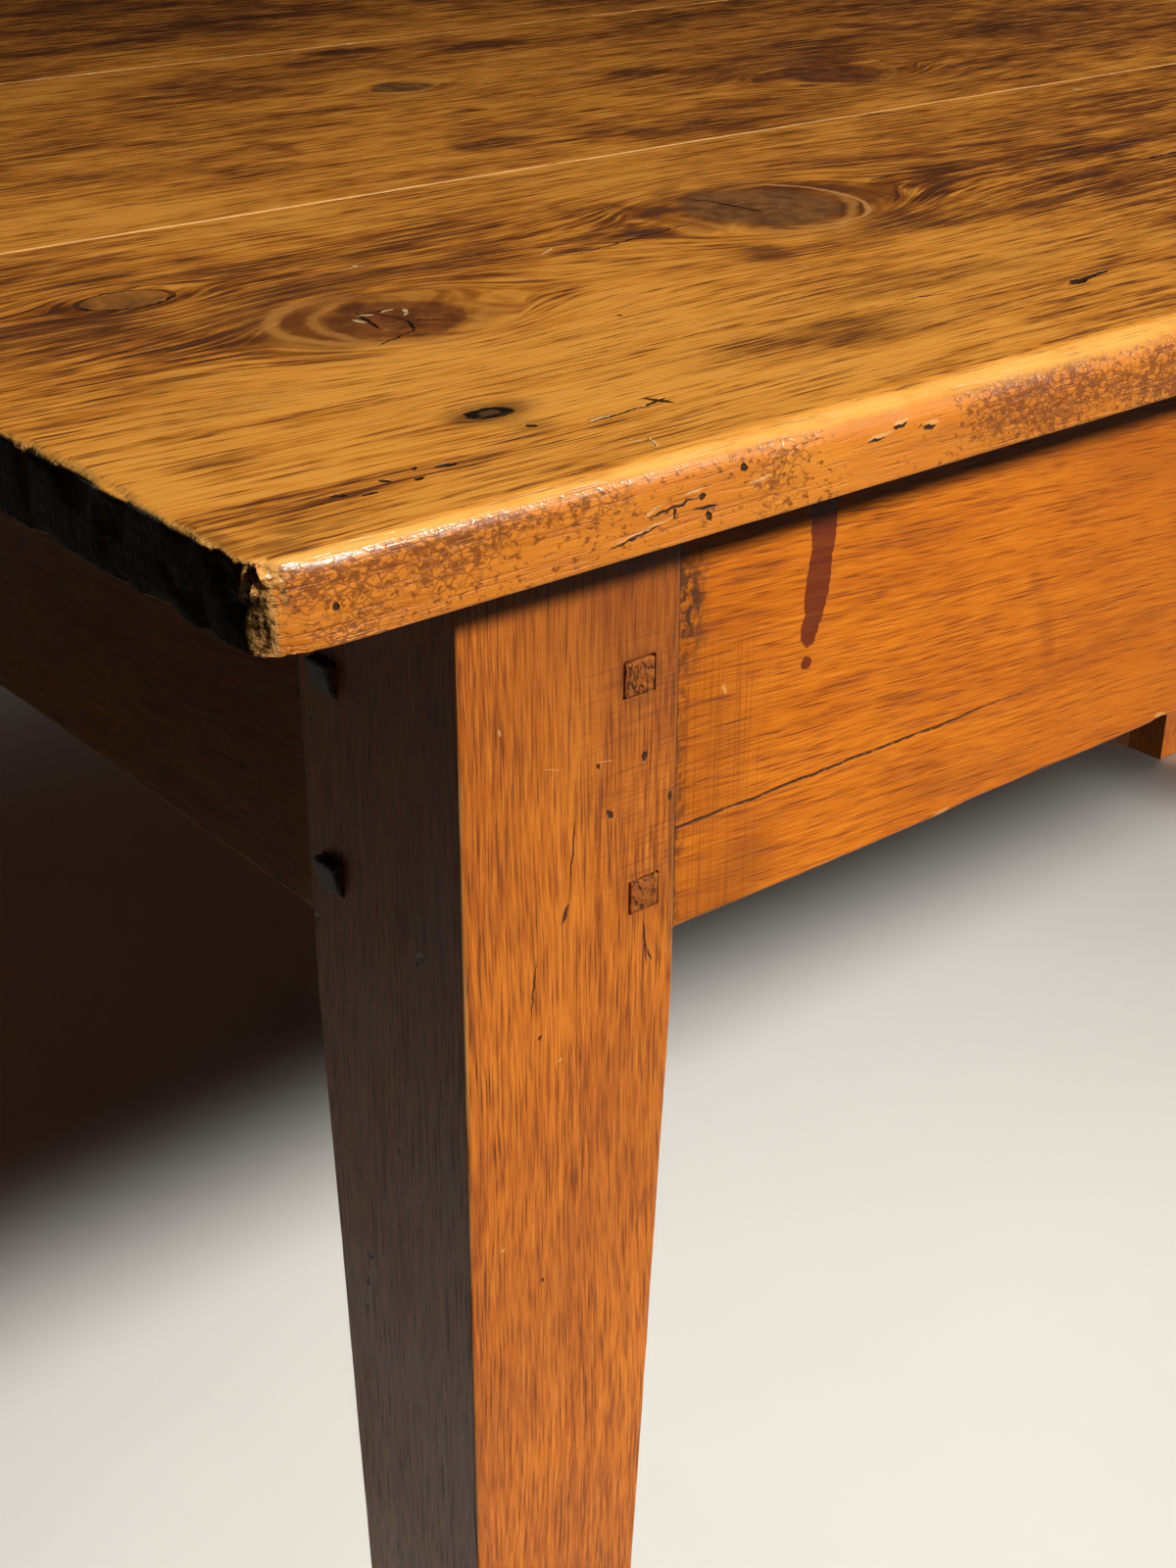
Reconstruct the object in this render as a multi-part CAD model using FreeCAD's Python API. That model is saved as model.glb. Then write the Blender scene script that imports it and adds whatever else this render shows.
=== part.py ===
import FreeCAD, Part
import os

V = FreeCAD.Vector
os.makedirs("parts", exist_ok=True)

# Farmhouse dining table. Millimetres, +Z up, origin on the floor under the middle of the table.
# X runs along the long side, Y across it. Left is -X, front is -Y.

# ---- driving dimensions ----
TABLE_LENGTH = 1492.0
TABLE_WIDTH = 800.0
TABLE_HEIGHT = 760.0
TOP_THICKNESS = 22.0
FRONT_BOARD_WIDTH = 276.0
MIDDLE_BOARD_WIDTH = 276.0
NOSING_RADIUS = 6.0          # rounded upper arris of the long edges
CORNER_RADIUS = 9.0          # plan radius of the top's corners
SEAM_EASE = 0.8              # small chamfer along each seam

TONGUE_WIDTH = 20.0
TONGUE_THICKNESS = 6.0
TONGUE_STOP = 56.0           # the grooves stop this far from the ends
TONGUE_PLAY = 0.5

BASE_LENGTH = 1368.0         # over the outer faces of the legs
BASE_WIDTH = 764.0
LEG_SIZE = 70.0
FOOT_SIZE = 38.0
TAPER_BELOW_APRON = 21.0     # the taper starts this far under the aprons
LEG_ARRIS = 1.2

APRON_HEIGHT = 120.8
APRON_THICKNESS = 24.0
APRON_SETBACK = 1.5          # apron face behind the leg face
APRON_ARRIS = 1.2

TENON_LENGTH = 45.0
TENON_THICKNESS = 10.0
TENON_FOOT = 6.0             # shoulder under the tenon
HAUNCH_HEIGHT = 28.0
HAUNCH_LENGTH = 12.0
MORTISE_SPARE = 2.0          # glue space at the tenon's end

PEG_SIZE = 9.5
PEG_DEPTH = 42.0
PEG_HOLE_SPARE = 2.0
PEG_TIP = 6.0
SIDE_PEG_DROPS = (41.0, 104.0)   # below the leg's top: upper, lower
END_PEG_DROPS = (44.5, 103.0)
SIDE_PEG_INSETS = (56.4, 59.0)   # from the leg's outer arris
END_PEG_INSETS = (56.6, 58.2)
SIDE_PEG_PROUD = (0.5, 0.3)      # at the peg's upper and lower edge
END_PEG_PROUD = (3.6, 1.3)

GROOVE_HEIGHT = 8.0
GROOVE_DEPTH = 8.0
GROOVE_DROP = 12.0           # below the apron's upper edge

BEARER_WIDTH = 45.0
BEARER_HEIGHT = 32.0
BEARER_XS = (-400.0, 0.0, 400.0)
BEARER_ARRIS = 3.0
DOVETAIL_LENGTH = 14.0
DOVETAIL_HEIGHT = 26.0
DOVETAIL_NECK = 34.0
DOVETAIL_END = 42.0

BUTTON_LENGTH = 38.0
BUTTON_WIDTH = 30.0
BUTTON_HEIGHT = 22.0
BUTTON_GAP = 2.0
BUTTON_LIP = 8.5             # from the button's body to the end of its lip
BUTTON_ARRIS = 2.0
LONG_BUTTON_XS = (-545.0, -200.0, 200.0, 545.0)
END_BUTTON_YS = (-230.0, 14.0, 240.0)   # one under each board

SCREW_SHANK_R = 2.2
SCREW_HEAD_R = 4.3
SCREW_HEAD_H = 2.6
SCREW_TIP = 6.0
SCREW_BITE = 12.0            # how far a screw goes into the top
SCREW_SLOT = 1.0
BEARER_HOLE_R = 2.7
BEARER_SCREW_YS = (-310.0, -180.0, -70.0, 98.0, 205.0, 310.0)

# ---- derived levels ----
LEG_TOP = TABLE_HEIGHT - TOP_THICKNESS
APRON_LOW = LEG_TOP - APRON_HEIGHT
TAPER_TOP = APRON_LOW - TAPER_BELOW_APRON
OX, OY = BASE_LENGTH / 2, BASE_WIDTH / 2          # outer faces of the legs
IX, IY = OX - LEG_SIZE, OY - LEG_SIZE             # inner faces of the legs
SEAM_1 = -TABLE_WIDTH / 2 + FRONT_BOARD_WIDTH
SEAM_2 = SEAM_1 + MIDDLE_BOARD_WIDTH


def box(x0, x1, y0, y1, z0, z1):
    lo = V(min(x0, x1), min(y0, y1), min(z0, z1))
    return Part.makeBox(abs(x1 - x0), abs(y1 - y0), abs(z1 - z0), lo)


def prism(points, direction):
    wire = Part.makePolygon(points + [points[0]])
    solid = Part.Face(wire).extrude(direction)
    if solid.Volume < 0:
        solid.reverse()
    return solid


def one_solid(shape):
    shape = shape.removeSplitter()
    if len(shape.Solids) != 1:
        raise ValueError("expected one solid, got %d" % len(shape.Solids))
    return shape.Solids[0]


def save(name, shape):
    if not shape.isValid():
        raise ValueError(name + " is not valid")
    shape.exportStep("parts/" + name + ".step")


# ---- screws: slotted countersunk wood screws, heads down ----
def screw(x, y, z_head, z_tip):
    up = V(0, 0, 1)
    head = Part.makeCone(SCREW_HEAD_R, SCREW_SHANK_R, SCREW_HEAD_H, V(x, y, z_head), up)
    shank = Part.makeCylinder(SCREW_SHANK_R, z_tip - SCREW_TIP - z_head - SCREW_HEAD_H,
                              V(x, y, z_head + SCREW_HEAD_H), up)
    tip = Part.makeCone(SCREW_SHANK_R, 0.4, SCREW_TIP, V(x, y, z_tip - SCREW_TIP), up)
    return one_solid(head.fuse([shank, tip]))


def slotted(solid, x, y, z_head):
    slot = box(x - 6, x + 6, y - SCREW_SLOT / 2, y + SCREW_SLOT / 2, z_head - 1, z_head + 1.1)
    return one_solid(solid.cut(slot))


bearer_low = LEG_TOP - BEARER_HEIGHT
button_low = LEG_TOP - BUTTON_HEIGHT
screw_top = LEG_TOP + SCREW_BITE
button_reach = APRON_SETBACK + APRON_THICKNESS + BUTTON_GAP     # leg face to button body
screw_inset = button_reach + 0.6 * BUTTON_LENGTH

bearer_screw_spots = [(x, y) for x in BEARER_XS for y in BEARER_SCREW_YS]
button_screw_spots = [(x, s * (OY - screw_inset)) for s in (-1, 1) for x in LONG_BUTTON_XS]
button_screw_spots += [(s * (OX - screw_inset), y) for s in (-1, 1) for y in END_BUTTON_YS]
bearer_screw_blanks = [screw(x, y, bearer_low, screw_top) for x, y in bearer_screw_spots]
button_screw_blanks = [screw(x, y, button_low, screw_top) for x, y in button_screw_spots]
all_blanks = bearer_screw_blanks + button_screw_blanks

save("bearer_screws", Part.makeCompound(
    [slotted(s, x, y, bearer_low) for s, (x, y) in zip(bearer_screw_blanks, bearer_screw_spots)]))
save("button_screws", Part.makeCompound(
    [slotted(s, x, y, button_low) for s, (x, y) in zip(button_screw_blanks, button_screw_spots)]))


# ---- top boards ----
def plan_outline():
    hx, hy, r = TABLE_LENGTH / 2, TABLE_WIDTH / 2, CORNER_RADIUS
    slab = box(-hx, hx, -hy, hy, LEG_TOP - 5, TABLE_HEIGHT + 5)
    upright = [e for e in slab.Edges if abs(e.Vertexes[0].X - e.Vertexes[1].X) < 1e-6
               and abs(e.Vertexes[0].Y - e.Vertexes[1].Y) < 1e-6]
    return slab.makeFillet(r, upright)


def board(y0, y1, nose_low, nose_high, groove_low, groove_high):
    hx = TABLE_LENGTH / 2
    z0, z1 = LEG_TOP, TABLE_HEIGHT
    e, r = SEAM_EASE, NOSING_RADIUS
    low = V(-hx, y0, z0)
    edges = [Part.makeLine(low, V(-hx, y1, z0))]
    if nose_high:
        a, b = V(-hx, y1, z1 - r), V(-hx, y1 - r, z1)
        mid = V(-hx, y1 - r + r * 0.70710678, z1 - r + r * 0.70710678)
        edges += [Part.makeLine(V(-hx, y1, z0), a), Part.Arc(a, mid, b).toShape()]
        upper = b
    else:
        a, b = V(-hx, y1, z1 - e), V(-hx, y1 - e, z1)
        edges += [Part.makeLine(V(-hx, y1, z0), a), Part.makeLine(a, b)]
        upper = b
    if nose_low:
        a, b = V(-hx, y0 + r, z1), V(-hx, y0, z1 - r)
        mid = V(-hx, y0 + r - r * 0.70710678, z1 - r + r * 0.70710678)
        edges += [Part.makeLine(upper, a), Part.Arc(a, mid, b).toShape(), Part.makeLine(b, low)]
    else:
        a, b = V(-hx, y0 + e, z1), V(-hx, y0, z1 - e)
        edges += [Part.makeLine(upper, a), Part.makeLine(a, b), Part.makeLine(b, low)]
    solid = Part.Face(Part.Wire(edges)).extrude(V(2 * hx, 0, 0))
    if solid.Volume < 0:
        solid.reverse()
    solid = solid.common(plan_outline())
    gx = hx - TONGUE_STOP
    gz = (z0 + z1) / 2
    depth = TONGUE_WIDTH / 2 + TONGUE_PLAY
    cuts = []
    if groove_low:
        cuts.append(box(-gx, gx, y0 - 1, y0 + depth, gz - TONGUE_THICKNESS / 2, gz + TONGUE_THICKNESS / 2))
    if groove_high:
        cuts.append(box(-gx, gx, y1 - depth, y1 + 1, gz - TONGUE_THICKNESS / 2, gz + TONGUE_THICKNESS / 2))
    cuts += [s for s in all_blanks if y0 < s.CenterOfMass.y < y1]
    return one_solid(solid.cut(cuts))


half_w = TABLE_WIDTH / 2
save("top_board_front", board(-half_w, SEAM_1, True, False, False, True))
save("top_board_middle", board(SEAM_1, SEAM_2, False, False, True, True))
save("top_board_back", board(SEAM_2, half_w, False, True, True, False))


# ---- loose tongues in the seams ----
def tongue(y):
    gx = TABLE_LENGTH / 2 - TONGUE_STOP - 2.0
    gz = LEG_TOP + TOP_THICKNESS / 2
    return box(-gx, gx, y - TONGUE_WIDTH / 2, y + TONGUE_WIDTH / 2,
               gz - TONGUE_THICKNESS / 2, gz + TONGUE_THICKNESS / 2)


save("top_tongue_front", tongue(SEAM_1))
save("top_tongue_back", tongue(SEAM_2))


# ---- legs: square at the aprons, tapered below on the two inner faces ----
TENON_LOW = APRON_LOW + TENON_FOOT
TENON_HIGH = LEG_TOP - HAUNCH_HEIGHT
TENON_IN = APRON_SETBACK + (APRON_THICKNESS - TENON_THICKNESS) / 2    # leg face to tenon cheek


def leg_section(sx, sy, size, z):
    c, s = LEG_ARRIS, size
    spots = [(c, 0), (s - c, 0), (s, c), (s, s - c), (s - c, s), (c, s), (0, s - c), (0, c)]
    return [V(sx * (OX - u), sy * (OY - v), z) for u, v in spots]


def peg_points(inset, proud_top, proud_low, z, depth):
    # side view of a square peg: (distance inward from the leg face, height)
    h = PEG_SIZE / 2
    return [(-proud_low, z - h), (-proud_top, z + h), (depth - PEG_TIP, z + h),
            (depth, z + h * 0.45), (depth, z - h * 0.45), (depth - PEG_TIP, z - h)]


def leg(sx, sy):
    upper_pts = leg_section(sx, sy, LEG_SIZE, TAPER_TOP)
    upper = prism(upper_pts, V(0, 0, LEG_TOP - TAPER_TOP))
    foot_pts = leg_section(sx, sy, FOOT_SIZE, 0.0)
    lower = Part.makeLoft([Part.makePolygon(foot_pts + [foot_pts[0]]),
                           Part.makePolygon(upper_pts + [upper_pts[0]])], True, True)
    if lower.Volume < 0:
        lower.reverse()
    body = one_solid(upper.fuse(lower))
    t0, t1 = TENON_IN, TENON_IN + TENON_THICKNESS
    deep = TENON_LENGTH + MORTISE_SPARE
    cuts = [
        box(sx * IX, sx * (IX + deep), sy * (OY - t0), sy * (OY - t1), TENON_LOW, TENON_HIGH),
        box(sx * IX, sx * (IX + HAUNCH_LENGTH), sy * (OY - t0), sy * (OY - t1), TENON_HIGH, LEG_TOP + 1),
        box(sx * (OX - t0), sx * (OX - t1), sy * IY, sy * (IY + deep), TENON_LOW, TENON_HIGH),
        box(sx * (OX - t0), sx * (OX - t1), sy * IY, sy * (IY + HAUNCH_LENGTH), TENON_HIGH, LEG_TOP + 1),
    ]
    h = PEG_SIZE / 2
    reach = PEG_DEPTH + PEG_HOLE_SPARE
    for drop, inset in zip(SIDE_PEG_DROPS, SIDE_PEG_INSETS):
        x, z = sx * (OX - inset), LEG_TOP - drop
        cuts.append(box(x - h, x + h, sy * (OY + 1), sy * (OY - reach), z - h, z + h))
    for drop, inset in zip(END_PEG_DROPS, END_PEG_INSETS):
        y, z = sy * (OY - inset), LEG_TOP - drop
        cuts.append(box(sx * (OX + 1), sx * (OX - reach), y - h, y + h, z - h, z + h))
    return one_solid(body.cut(cuts))


def leg_pegs(sx, sy):
    h = PEG_SIZE / 2
    pegs = []
    for drop, inset in zip(SIDE_PEG_DROPS, SIDE_PEG_INSETS):
        x, z = sx * (OX - inset), LEG_TOP - drop
        side = peg_points(inset, SIDE_PEG_PROUD[0], SIDE_PEG_PROUD[1], z, PEG_DEPTH)
        pegs.append(prism([V(x - h, sy * (OY - d), zz) for d, zz in side], V(PEG_SIZE, 0, 0)))
    for drop, inset in zip(END_PEG_DROPS, END_PEG_INSETS):
        y, z = sy * (OY - inset), LEG_TOP - drop
        side = peg_points(inset, END_PEG_PROUD[0], END_PEG_PROUD[1], z, PEG_DEPTH)
        pegs.append(prism([V(sx * (OX - d), y - h, zz) for d, zz in side], V(0, PEG_SIZE, 0)))
    return Part.makeCompound(pegs)


for name, sx, sy in (("front_left", -1, -1), ("front_right", 1, -1),
                     ("back_left", -1, 1), ("back_right", 1, 1)):
    save("leg_" + name, leg(sx, sy))
    save("pegs_leg_" + name, leg_pegs(sx, sy))


# ---- cross bearers, dovetailed into the upper edges of the long aprons ----
APRON_Y_IN = OY - APRON_SETBACK - APRON_THICKNESS     # inner face of a long apron
APRON_X_IN = OX - APRON_SETBACK - APRON_THICKNESS     # inner face of an end apron


def dovetail(x, sy):
    a, b = DOVETAIL_NECK / 2, DOVETAIL_END / 2
    y0, y1 = sy * APRON_Y_IN, sy * (APRON_Y_IN + DOVETAIL_LENGTH)
    z = LEG_TOP - DOVETAIL_HEIGHT
    return prism([V(x - a, y0, z), V(x + a, y0, z), V(x + b, y1, z), V(x - b, y1, z)],
                 V(0, 0, DOVETAIL_HEIGHT))


def bearer(x):
    w, c = BEARER_WIDTH / 2, BEARER_ARRIS
    section = [(-w + c, bearer_low), (w - c, bearer_low), (w, bearer_low + c), (w, LEG_TOP),
               (-w, LEG_TOP), (-w, bearer_low + c)]
    body = prism([V(x + u, -APRON_Y_IN, z) for u, z in section], V(0, 2 * APRON_Y_IN, 0))
    body = body.fuse([dovetail(x, -1), dovetail(x, 1)])
    cuts = []
    for blank, (bx, by) in zip(bearer_screw_blanks, bearer_screw_spots):
        if abs(bx - x) < 1:
            cuts.append(blank)
            cuts.append(Part.makeCylinder(BEARER_HOLE_R, BEARER_HEIGHT - SCREW_HEAD_H + 1,
                                          V(bx, by, bearer_low + SCREW_HEAD_H - 0.6), V(0, 0, 1)))
    return one_solid(body.cut(cuts))


for name, x in zip(("left", "centre", "right"), BEARER_XS):
    save("cross_bearer_" + name, bearer(x))


# ---- aprons with haunched tenons, peg holes and a button groove ----
def apron_section(outer, inner, sign):
    c = APRON_ARRIS
    o, i = sign * outer, sign * inner
    return [(o - sign * c, APRON_LOW), (i + sign * c, APRON_LOW), (i, APRON_LOW + c), (i, LEG_TOP),
            (o, LEG_TOP), (o, APRON_LOW + c)]


groove_z1 = LEG_TOP - GROOVE_DROP
groove_z0 = groove_z1 - GROOVE_HEIGHT


def long_apron(sy):
    outer, inner = OY - APRON_SETBACK, APRON_Y_IN
    section = apron_section(outer, inner, sy)
    body = prism([V(-IX, y, z) for y, z in section], V(2 * IX, 0, 0))
    t0, t1 = OY - TENON_IN, OY - TENON_IN - TENON_THICKNESS
    adds = []
    for sx in (-1, 1):
        adds.append(box(sx * IX, sx * (IX + TENON_LENGTH), sy * t0, sy * t1, TENON_LOW, TENON_HIGH))
        adds.append(box(sx * IX, sx * (IX + HAUNCH_LENGTH), sy * t0, sy * t1, TENON_HIGH, LEG_TOP))
    body = body.fuse(adds)
    h = PEG_SIZE / 2
    cuts = [box(-IX, IX, sy * inner, sy * (inner + GROOVE_DEPTH), groove_z0, groove_z1)]
    for sx in (-1, 1):
        for drop, inset in zip(SIDE_PEG_DROPS, SIDE_PEG_INSETS):
            x, z = sx * (OX - inset), LEG_TOP - drop
            cuts.append(box(x - h, x + h, sy * (outer + 1), sy * (inner - 1), z - h, z + h))
    cuts += [dovetail(x, sy) for x in BEARER_XS]
    return one_solid(body.cut(cuts))


def end_apron(sx):
    outer, inner = OX - APRON_SETBACK, APRON_X_IN
    section = apron_section(outer, inner, sx)
    body = prism([V(x, -IY, z) for x, z in section], V(0, 2 * IY, 0))
    t0, t1 = OX - TENON_IN, OX - TENON_IN - TENON_THICKNESS
    adds = []
    for sy in (-1, 1):
        adds.append(box(sx * t0, sx * t1, sy * IY, sy * (IY + TENON_LENGTH), TENON_LOW, TENON_HIGH))
        adds.append(box(sx * t0, sx * t1, sy * IY, sy * (IY + HAUNCH_LENGTH), TENON_HIGH, LEG_TOP))
    body = body.fuse(adds)
    h = PEG_SIZE / 2
    cuts = [box(sx * inner, sx * (inner + GROOVE_DEPTH), -IY, IY, groove_z0, groove_z1)]
    for sy in (-1, 1):
        for drop, inset in zip(END_PEG_DROPS, END_PEG_INSETS):
            y, z = sy * (OY - inset), LEG_TOP - drop
            cuts.append(box(sx * (outer + 1), sx * (inner - 1), y - h, y + h, z - h, z + h))
    return one_solid(body.cut(cuts))


save("apron_front", long_apron(-1))
save("apron_back", long_apron(1))
save("apron_left", end_apron(-1))
save("apron_right", end_apron(1))


# ---- wooden buttons: the lip sits in the apron's groove, the body is screwed to the top ----
def button_profile():
    # (distance inward from the leg's outer face, height)
    a = button_reach
    b = a + BUTTON_LENGTH
    lip0, lip1 = groove_z0 + 0.4, groove_z1
    c = BUTTON_ARRIS
    return [(a, button_low + c), (a + c, button_low), (b - c, button_low), (b, button_low + c),
            (b, LEG_TOP), (a, LEG_TOP), (a, lip1), (a - BUTTON_LIP, lip1), (a - BUTTON_LIP, lip0), (a, lip0)]


def buttons_long(sy):
    made = []
    for x in LONG_BUTTON_XS:
        pts = [V(x - BUTTON_WIDTH / 2, sy * (OY - d), z) for d, z in button_profile()]
        made.append(prism(pts, V(BUTTON_WIDTH, 0, 0)))
    return made


def buttons_end(sx):
    made = []
    for y in END_BUTTON_YS:
        pts = [V(sx * (OX - d), y - BUTTON_WIDTH / 2, z) for d, z in button_profile()]
        made.append(prism(pts, V(0, BUTTON_WIDTH, 0)))
    return made


def bored(solids):
    return Part.makeCompound([one_solid(s.cut(button_screw_blanks)) for s in solids])


save("buttons_front", bored(buttons_long(-1)))
save("buttons_back", bored(buttons_long(1)))
save("buttons_left", bored(buttons_end(-1)))
save("buttons_right", bored(buttons_end(1)))
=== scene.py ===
import math

import bpy
import numpy as np
from mathutils import Matrix, Vector


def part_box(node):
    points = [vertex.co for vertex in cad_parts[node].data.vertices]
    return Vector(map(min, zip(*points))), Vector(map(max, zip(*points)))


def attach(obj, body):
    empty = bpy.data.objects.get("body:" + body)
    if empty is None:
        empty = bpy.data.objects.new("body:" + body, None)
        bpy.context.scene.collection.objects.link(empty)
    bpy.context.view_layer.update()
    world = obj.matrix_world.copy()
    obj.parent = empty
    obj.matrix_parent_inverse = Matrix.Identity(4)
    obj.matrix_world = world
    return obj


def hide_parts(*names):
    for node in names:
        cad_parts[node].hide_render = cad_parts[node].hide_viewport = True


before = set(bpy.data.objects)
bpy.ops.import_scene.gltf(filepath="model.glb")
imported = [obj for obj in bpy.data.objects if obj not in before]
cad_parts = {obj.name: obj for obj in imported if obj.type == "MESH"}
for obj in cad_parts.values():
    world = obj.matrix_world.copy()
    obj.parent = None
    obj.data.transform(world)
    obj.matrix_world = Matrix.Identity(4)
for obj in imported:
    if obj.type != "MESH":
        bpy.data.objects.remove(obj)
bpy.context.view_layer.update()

SCENE = bpy.context.scene

# Geometry below is worked out in millimetres and written to the meshes in metres.
# X along the table, Y across it, Z up. Left is -X, front is -Y.
TOP, UNDER = 760.0, 738.0
HX, HY = 746.0, 400.0
SEAM_1, SEAM_2 = -124.0, 152.0
OX, OY = 684.0, 382.0
LEG, FOOT = 70.0, 38.0
BOX_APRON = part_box("apron_front")
APRON_LOW = BOX_APRON[0][2] * 1000.0
TAPER = APRON_LOW - 21.0
PEG = 9.5
SIDE_PEGS = ((56.4, 41.0), (59.0, 104.0))      # inset from the outer arris, drop from the leg's top
END_PEGS = ((56.6, 44.5), (58.2, 103.0))
LIT_PROUD, DARK_PROUD = (0.55, 0.3), (3.6, 1.3)


# ------------------------------------------------------------------ noise for the shapes
def hash3(ix, iy, iz, seed):
    n = (ix * 73856093) ^ (iy * 19349663) ^ (iz * 83492791) ^ (seed * 7919 + 17)
    n = n & 0xFFFFFFFF
    n = ((n ^ (n >> 15)) * 0x2C1B3C6D) & 0xFFFFFFFF
    n = ((n ^ (n >> 12)) * 0x297A2D39) & 0xFFFFFFFF
    n = n ^ (n >> 15)
    return (n & 0xFFFF) / 32767.5 - 1.0


def noise(p, seed=0):
    i = np.floor(p).astype(np.int64)
    f = p - i
    w = f * f * (3.0 - 2.0 * f)
    out = np.zeros(len(p))
    for dx in (0, 1):
        wx = w[:, 0] if dx else 1.0 - w[:, 0]
        for dy in (0, 1):
            wy = w[:, 1] if dy else 1.0 - w[:, 1]
            for dz in (0, 1):
                wz = w[:, 2] if dz else 1.0 - w[:, 2]
                out += wx * wy * wz * hash3(i[:, 0] + dx, i[:, 1] + dy, i[:, 2] + dz, seed)
    return out


def fbm(p, size, octaves=3, seed=0):
    """Smooth noise of about -1 to 1; size is the feature size in mm, one number or one per axis."""
    q = p / np.asarray(size, float)
    out, amp, total = np.zeros(len(p)), 1.0, 0.0
    for k in range(octaves):
        out += amp * noise(q * 2.0 ** k, seed + 31 * k)
        total += amp
        amp *= 0.5
    return out / total


def smooth(x, e0, e1):
    t = np.clip((x - e0) / (e1 - e0), 0.0, 1.0)
    return t * t * (3.0 - 2.0 * t)


# ------------------------------------------------------------------ mesh helpers
def samples(*runs, extra=()):
    """Sorted positions: each run is (start, end, step)."""
    got = []
    for a, b, s in runs:
        got += list(np.linspace(a, b, max(2, int(round(abs(b - a) / s)) + 1)))
    got += list(extra)
    got = np.unique(np.round(np.array(got), 4))
    keep = [got[0]]
    fixed = set(np.round(np.array(extra), 4)) if len(extra) else set()
    for g in got[1:]:
        if g - keep[-1] < 0.09:
            if g in fixed:
                keep[-1] = g
            continue
        keep.append(g)
    return np.array(keep)


def lattice(xs, ys, zs):
    """The closed surface of a box, divided along the given positions."""
    nx, ny, nz = len(xs), len(ys), len(zs)
    surf = np.zeros((nx, ny, nz), bool)
    surf[[0, -1], :, :] = True
    surf[:, [0, -1], :] = True
    surf[:, :, [0, -1]] = True
    idx = -np.ones((nx, ny, nz), np.int64)
    idx[surf] = np.arange(int(surf.sum()))
    gx, gy, gz = np.meshgrid(xs, ys, zs, indexing="ij")
    v = np.stack([gx[surf], gy[surf], gz[surf]], 1)
    quads = []

    def add(a, flip):
        q = np.stack([a[:-1, :-1], a[1:, :-1], a[1:, 1:], a[:-1, 1:]], -1).reshape(-1, 4)
        quads.append(q[:, ::-1] if flip else q)

    add(idx[:, :, -1], False)
    add(idx[:, :, 0], True)
    add(idx[:, 0, :], False)
    add(idx[:, -1, :], True)
    add(idx[0, :, :], True)
    add(idx[-1, :, :], False)
    return v, np.concatenate(quads)


def round_edge(a, b, r):
    """Rounds the edge where a = 0 meets b = 0 (distances into the solid) to radius r."""
    r = np.broadcast_to(np.asarray(r, float), a.shape)
    ua, ub = r - a, r - b
    hit = (ua > 0) & (ub > 0)
    m = np.maximum(ua, ub)
    e = np.hypot(ua, ub)
    k = np.where(hit, m / np.maximum(e, 1e-9), 1.0)
    return np.where(hit, r - ua * k, a), np.where(hit, r - ub * k, b)


def normals(v, q):
    n = np.cross(v[q[:, 2]] - v[q[:, 0]], v[q[:, 3]] - v[q[:, 1]])
    out = np.zeros_like(v)
    for c in range(3):
        for k in range(4):
            out[:, c] += np.bincount(q[:, k], weights=n[:, c], minlength=len(v))
    return out / np.maximum(np.linalg.norm(out, axis=1, keepdims=True), 1e-12)


def join(parts):
    vs, qs, at = [], [], 0
    for v, q in parts:
        vs.append(v)
        qs.append(q + at)
        at += len(v)
    return np.concatenate(vs), np.concatenate(qs)


def piece(name, v, q, material, slot, *nodes, sharp=38.0):
    me = bpy.data.meshes.new(name)
    me.from_pydata((v * 0.001).tolist(), [], q.tolist())
    me.polygons.foreach_set("use_smooth", np.ones(len(me.polygons), bool))
    me.set_sharp_from_angle(angle=math.radians(sharp))
    me.update()
    ob = bpy.data.objects.new(name, me)
    SCENE.collection.objects.link(ob)
    me.materials.append(material)
    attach(ob, "root")
    if nodes:
        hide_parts(*nodes)
    return ob


# ------------------------------------------------------------------ material helpers
class E:
    """A value in a node tree, so that materials can be written as formulas."""

    def __init__(self, mat, sock):
        self.mat, self.sock = mat, sock

    def __add__(self, o): return self.mat.f("ADD", self, o)
    def __radd__(self, o): return self.mat.f("ADD", o, self)
    def __sub__(self, o): return self.mat.f("SUBTRACT", self, o)
    def __rsub__(self, o): return self.mat.f("SUBTRACT", o, self)
    def __mul__(self, o): return self.mat.f("MULTIPLY", self, o)
    def __rmul__(self, o): return self.mat.f("MULTIPLY", o, self)


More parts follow.
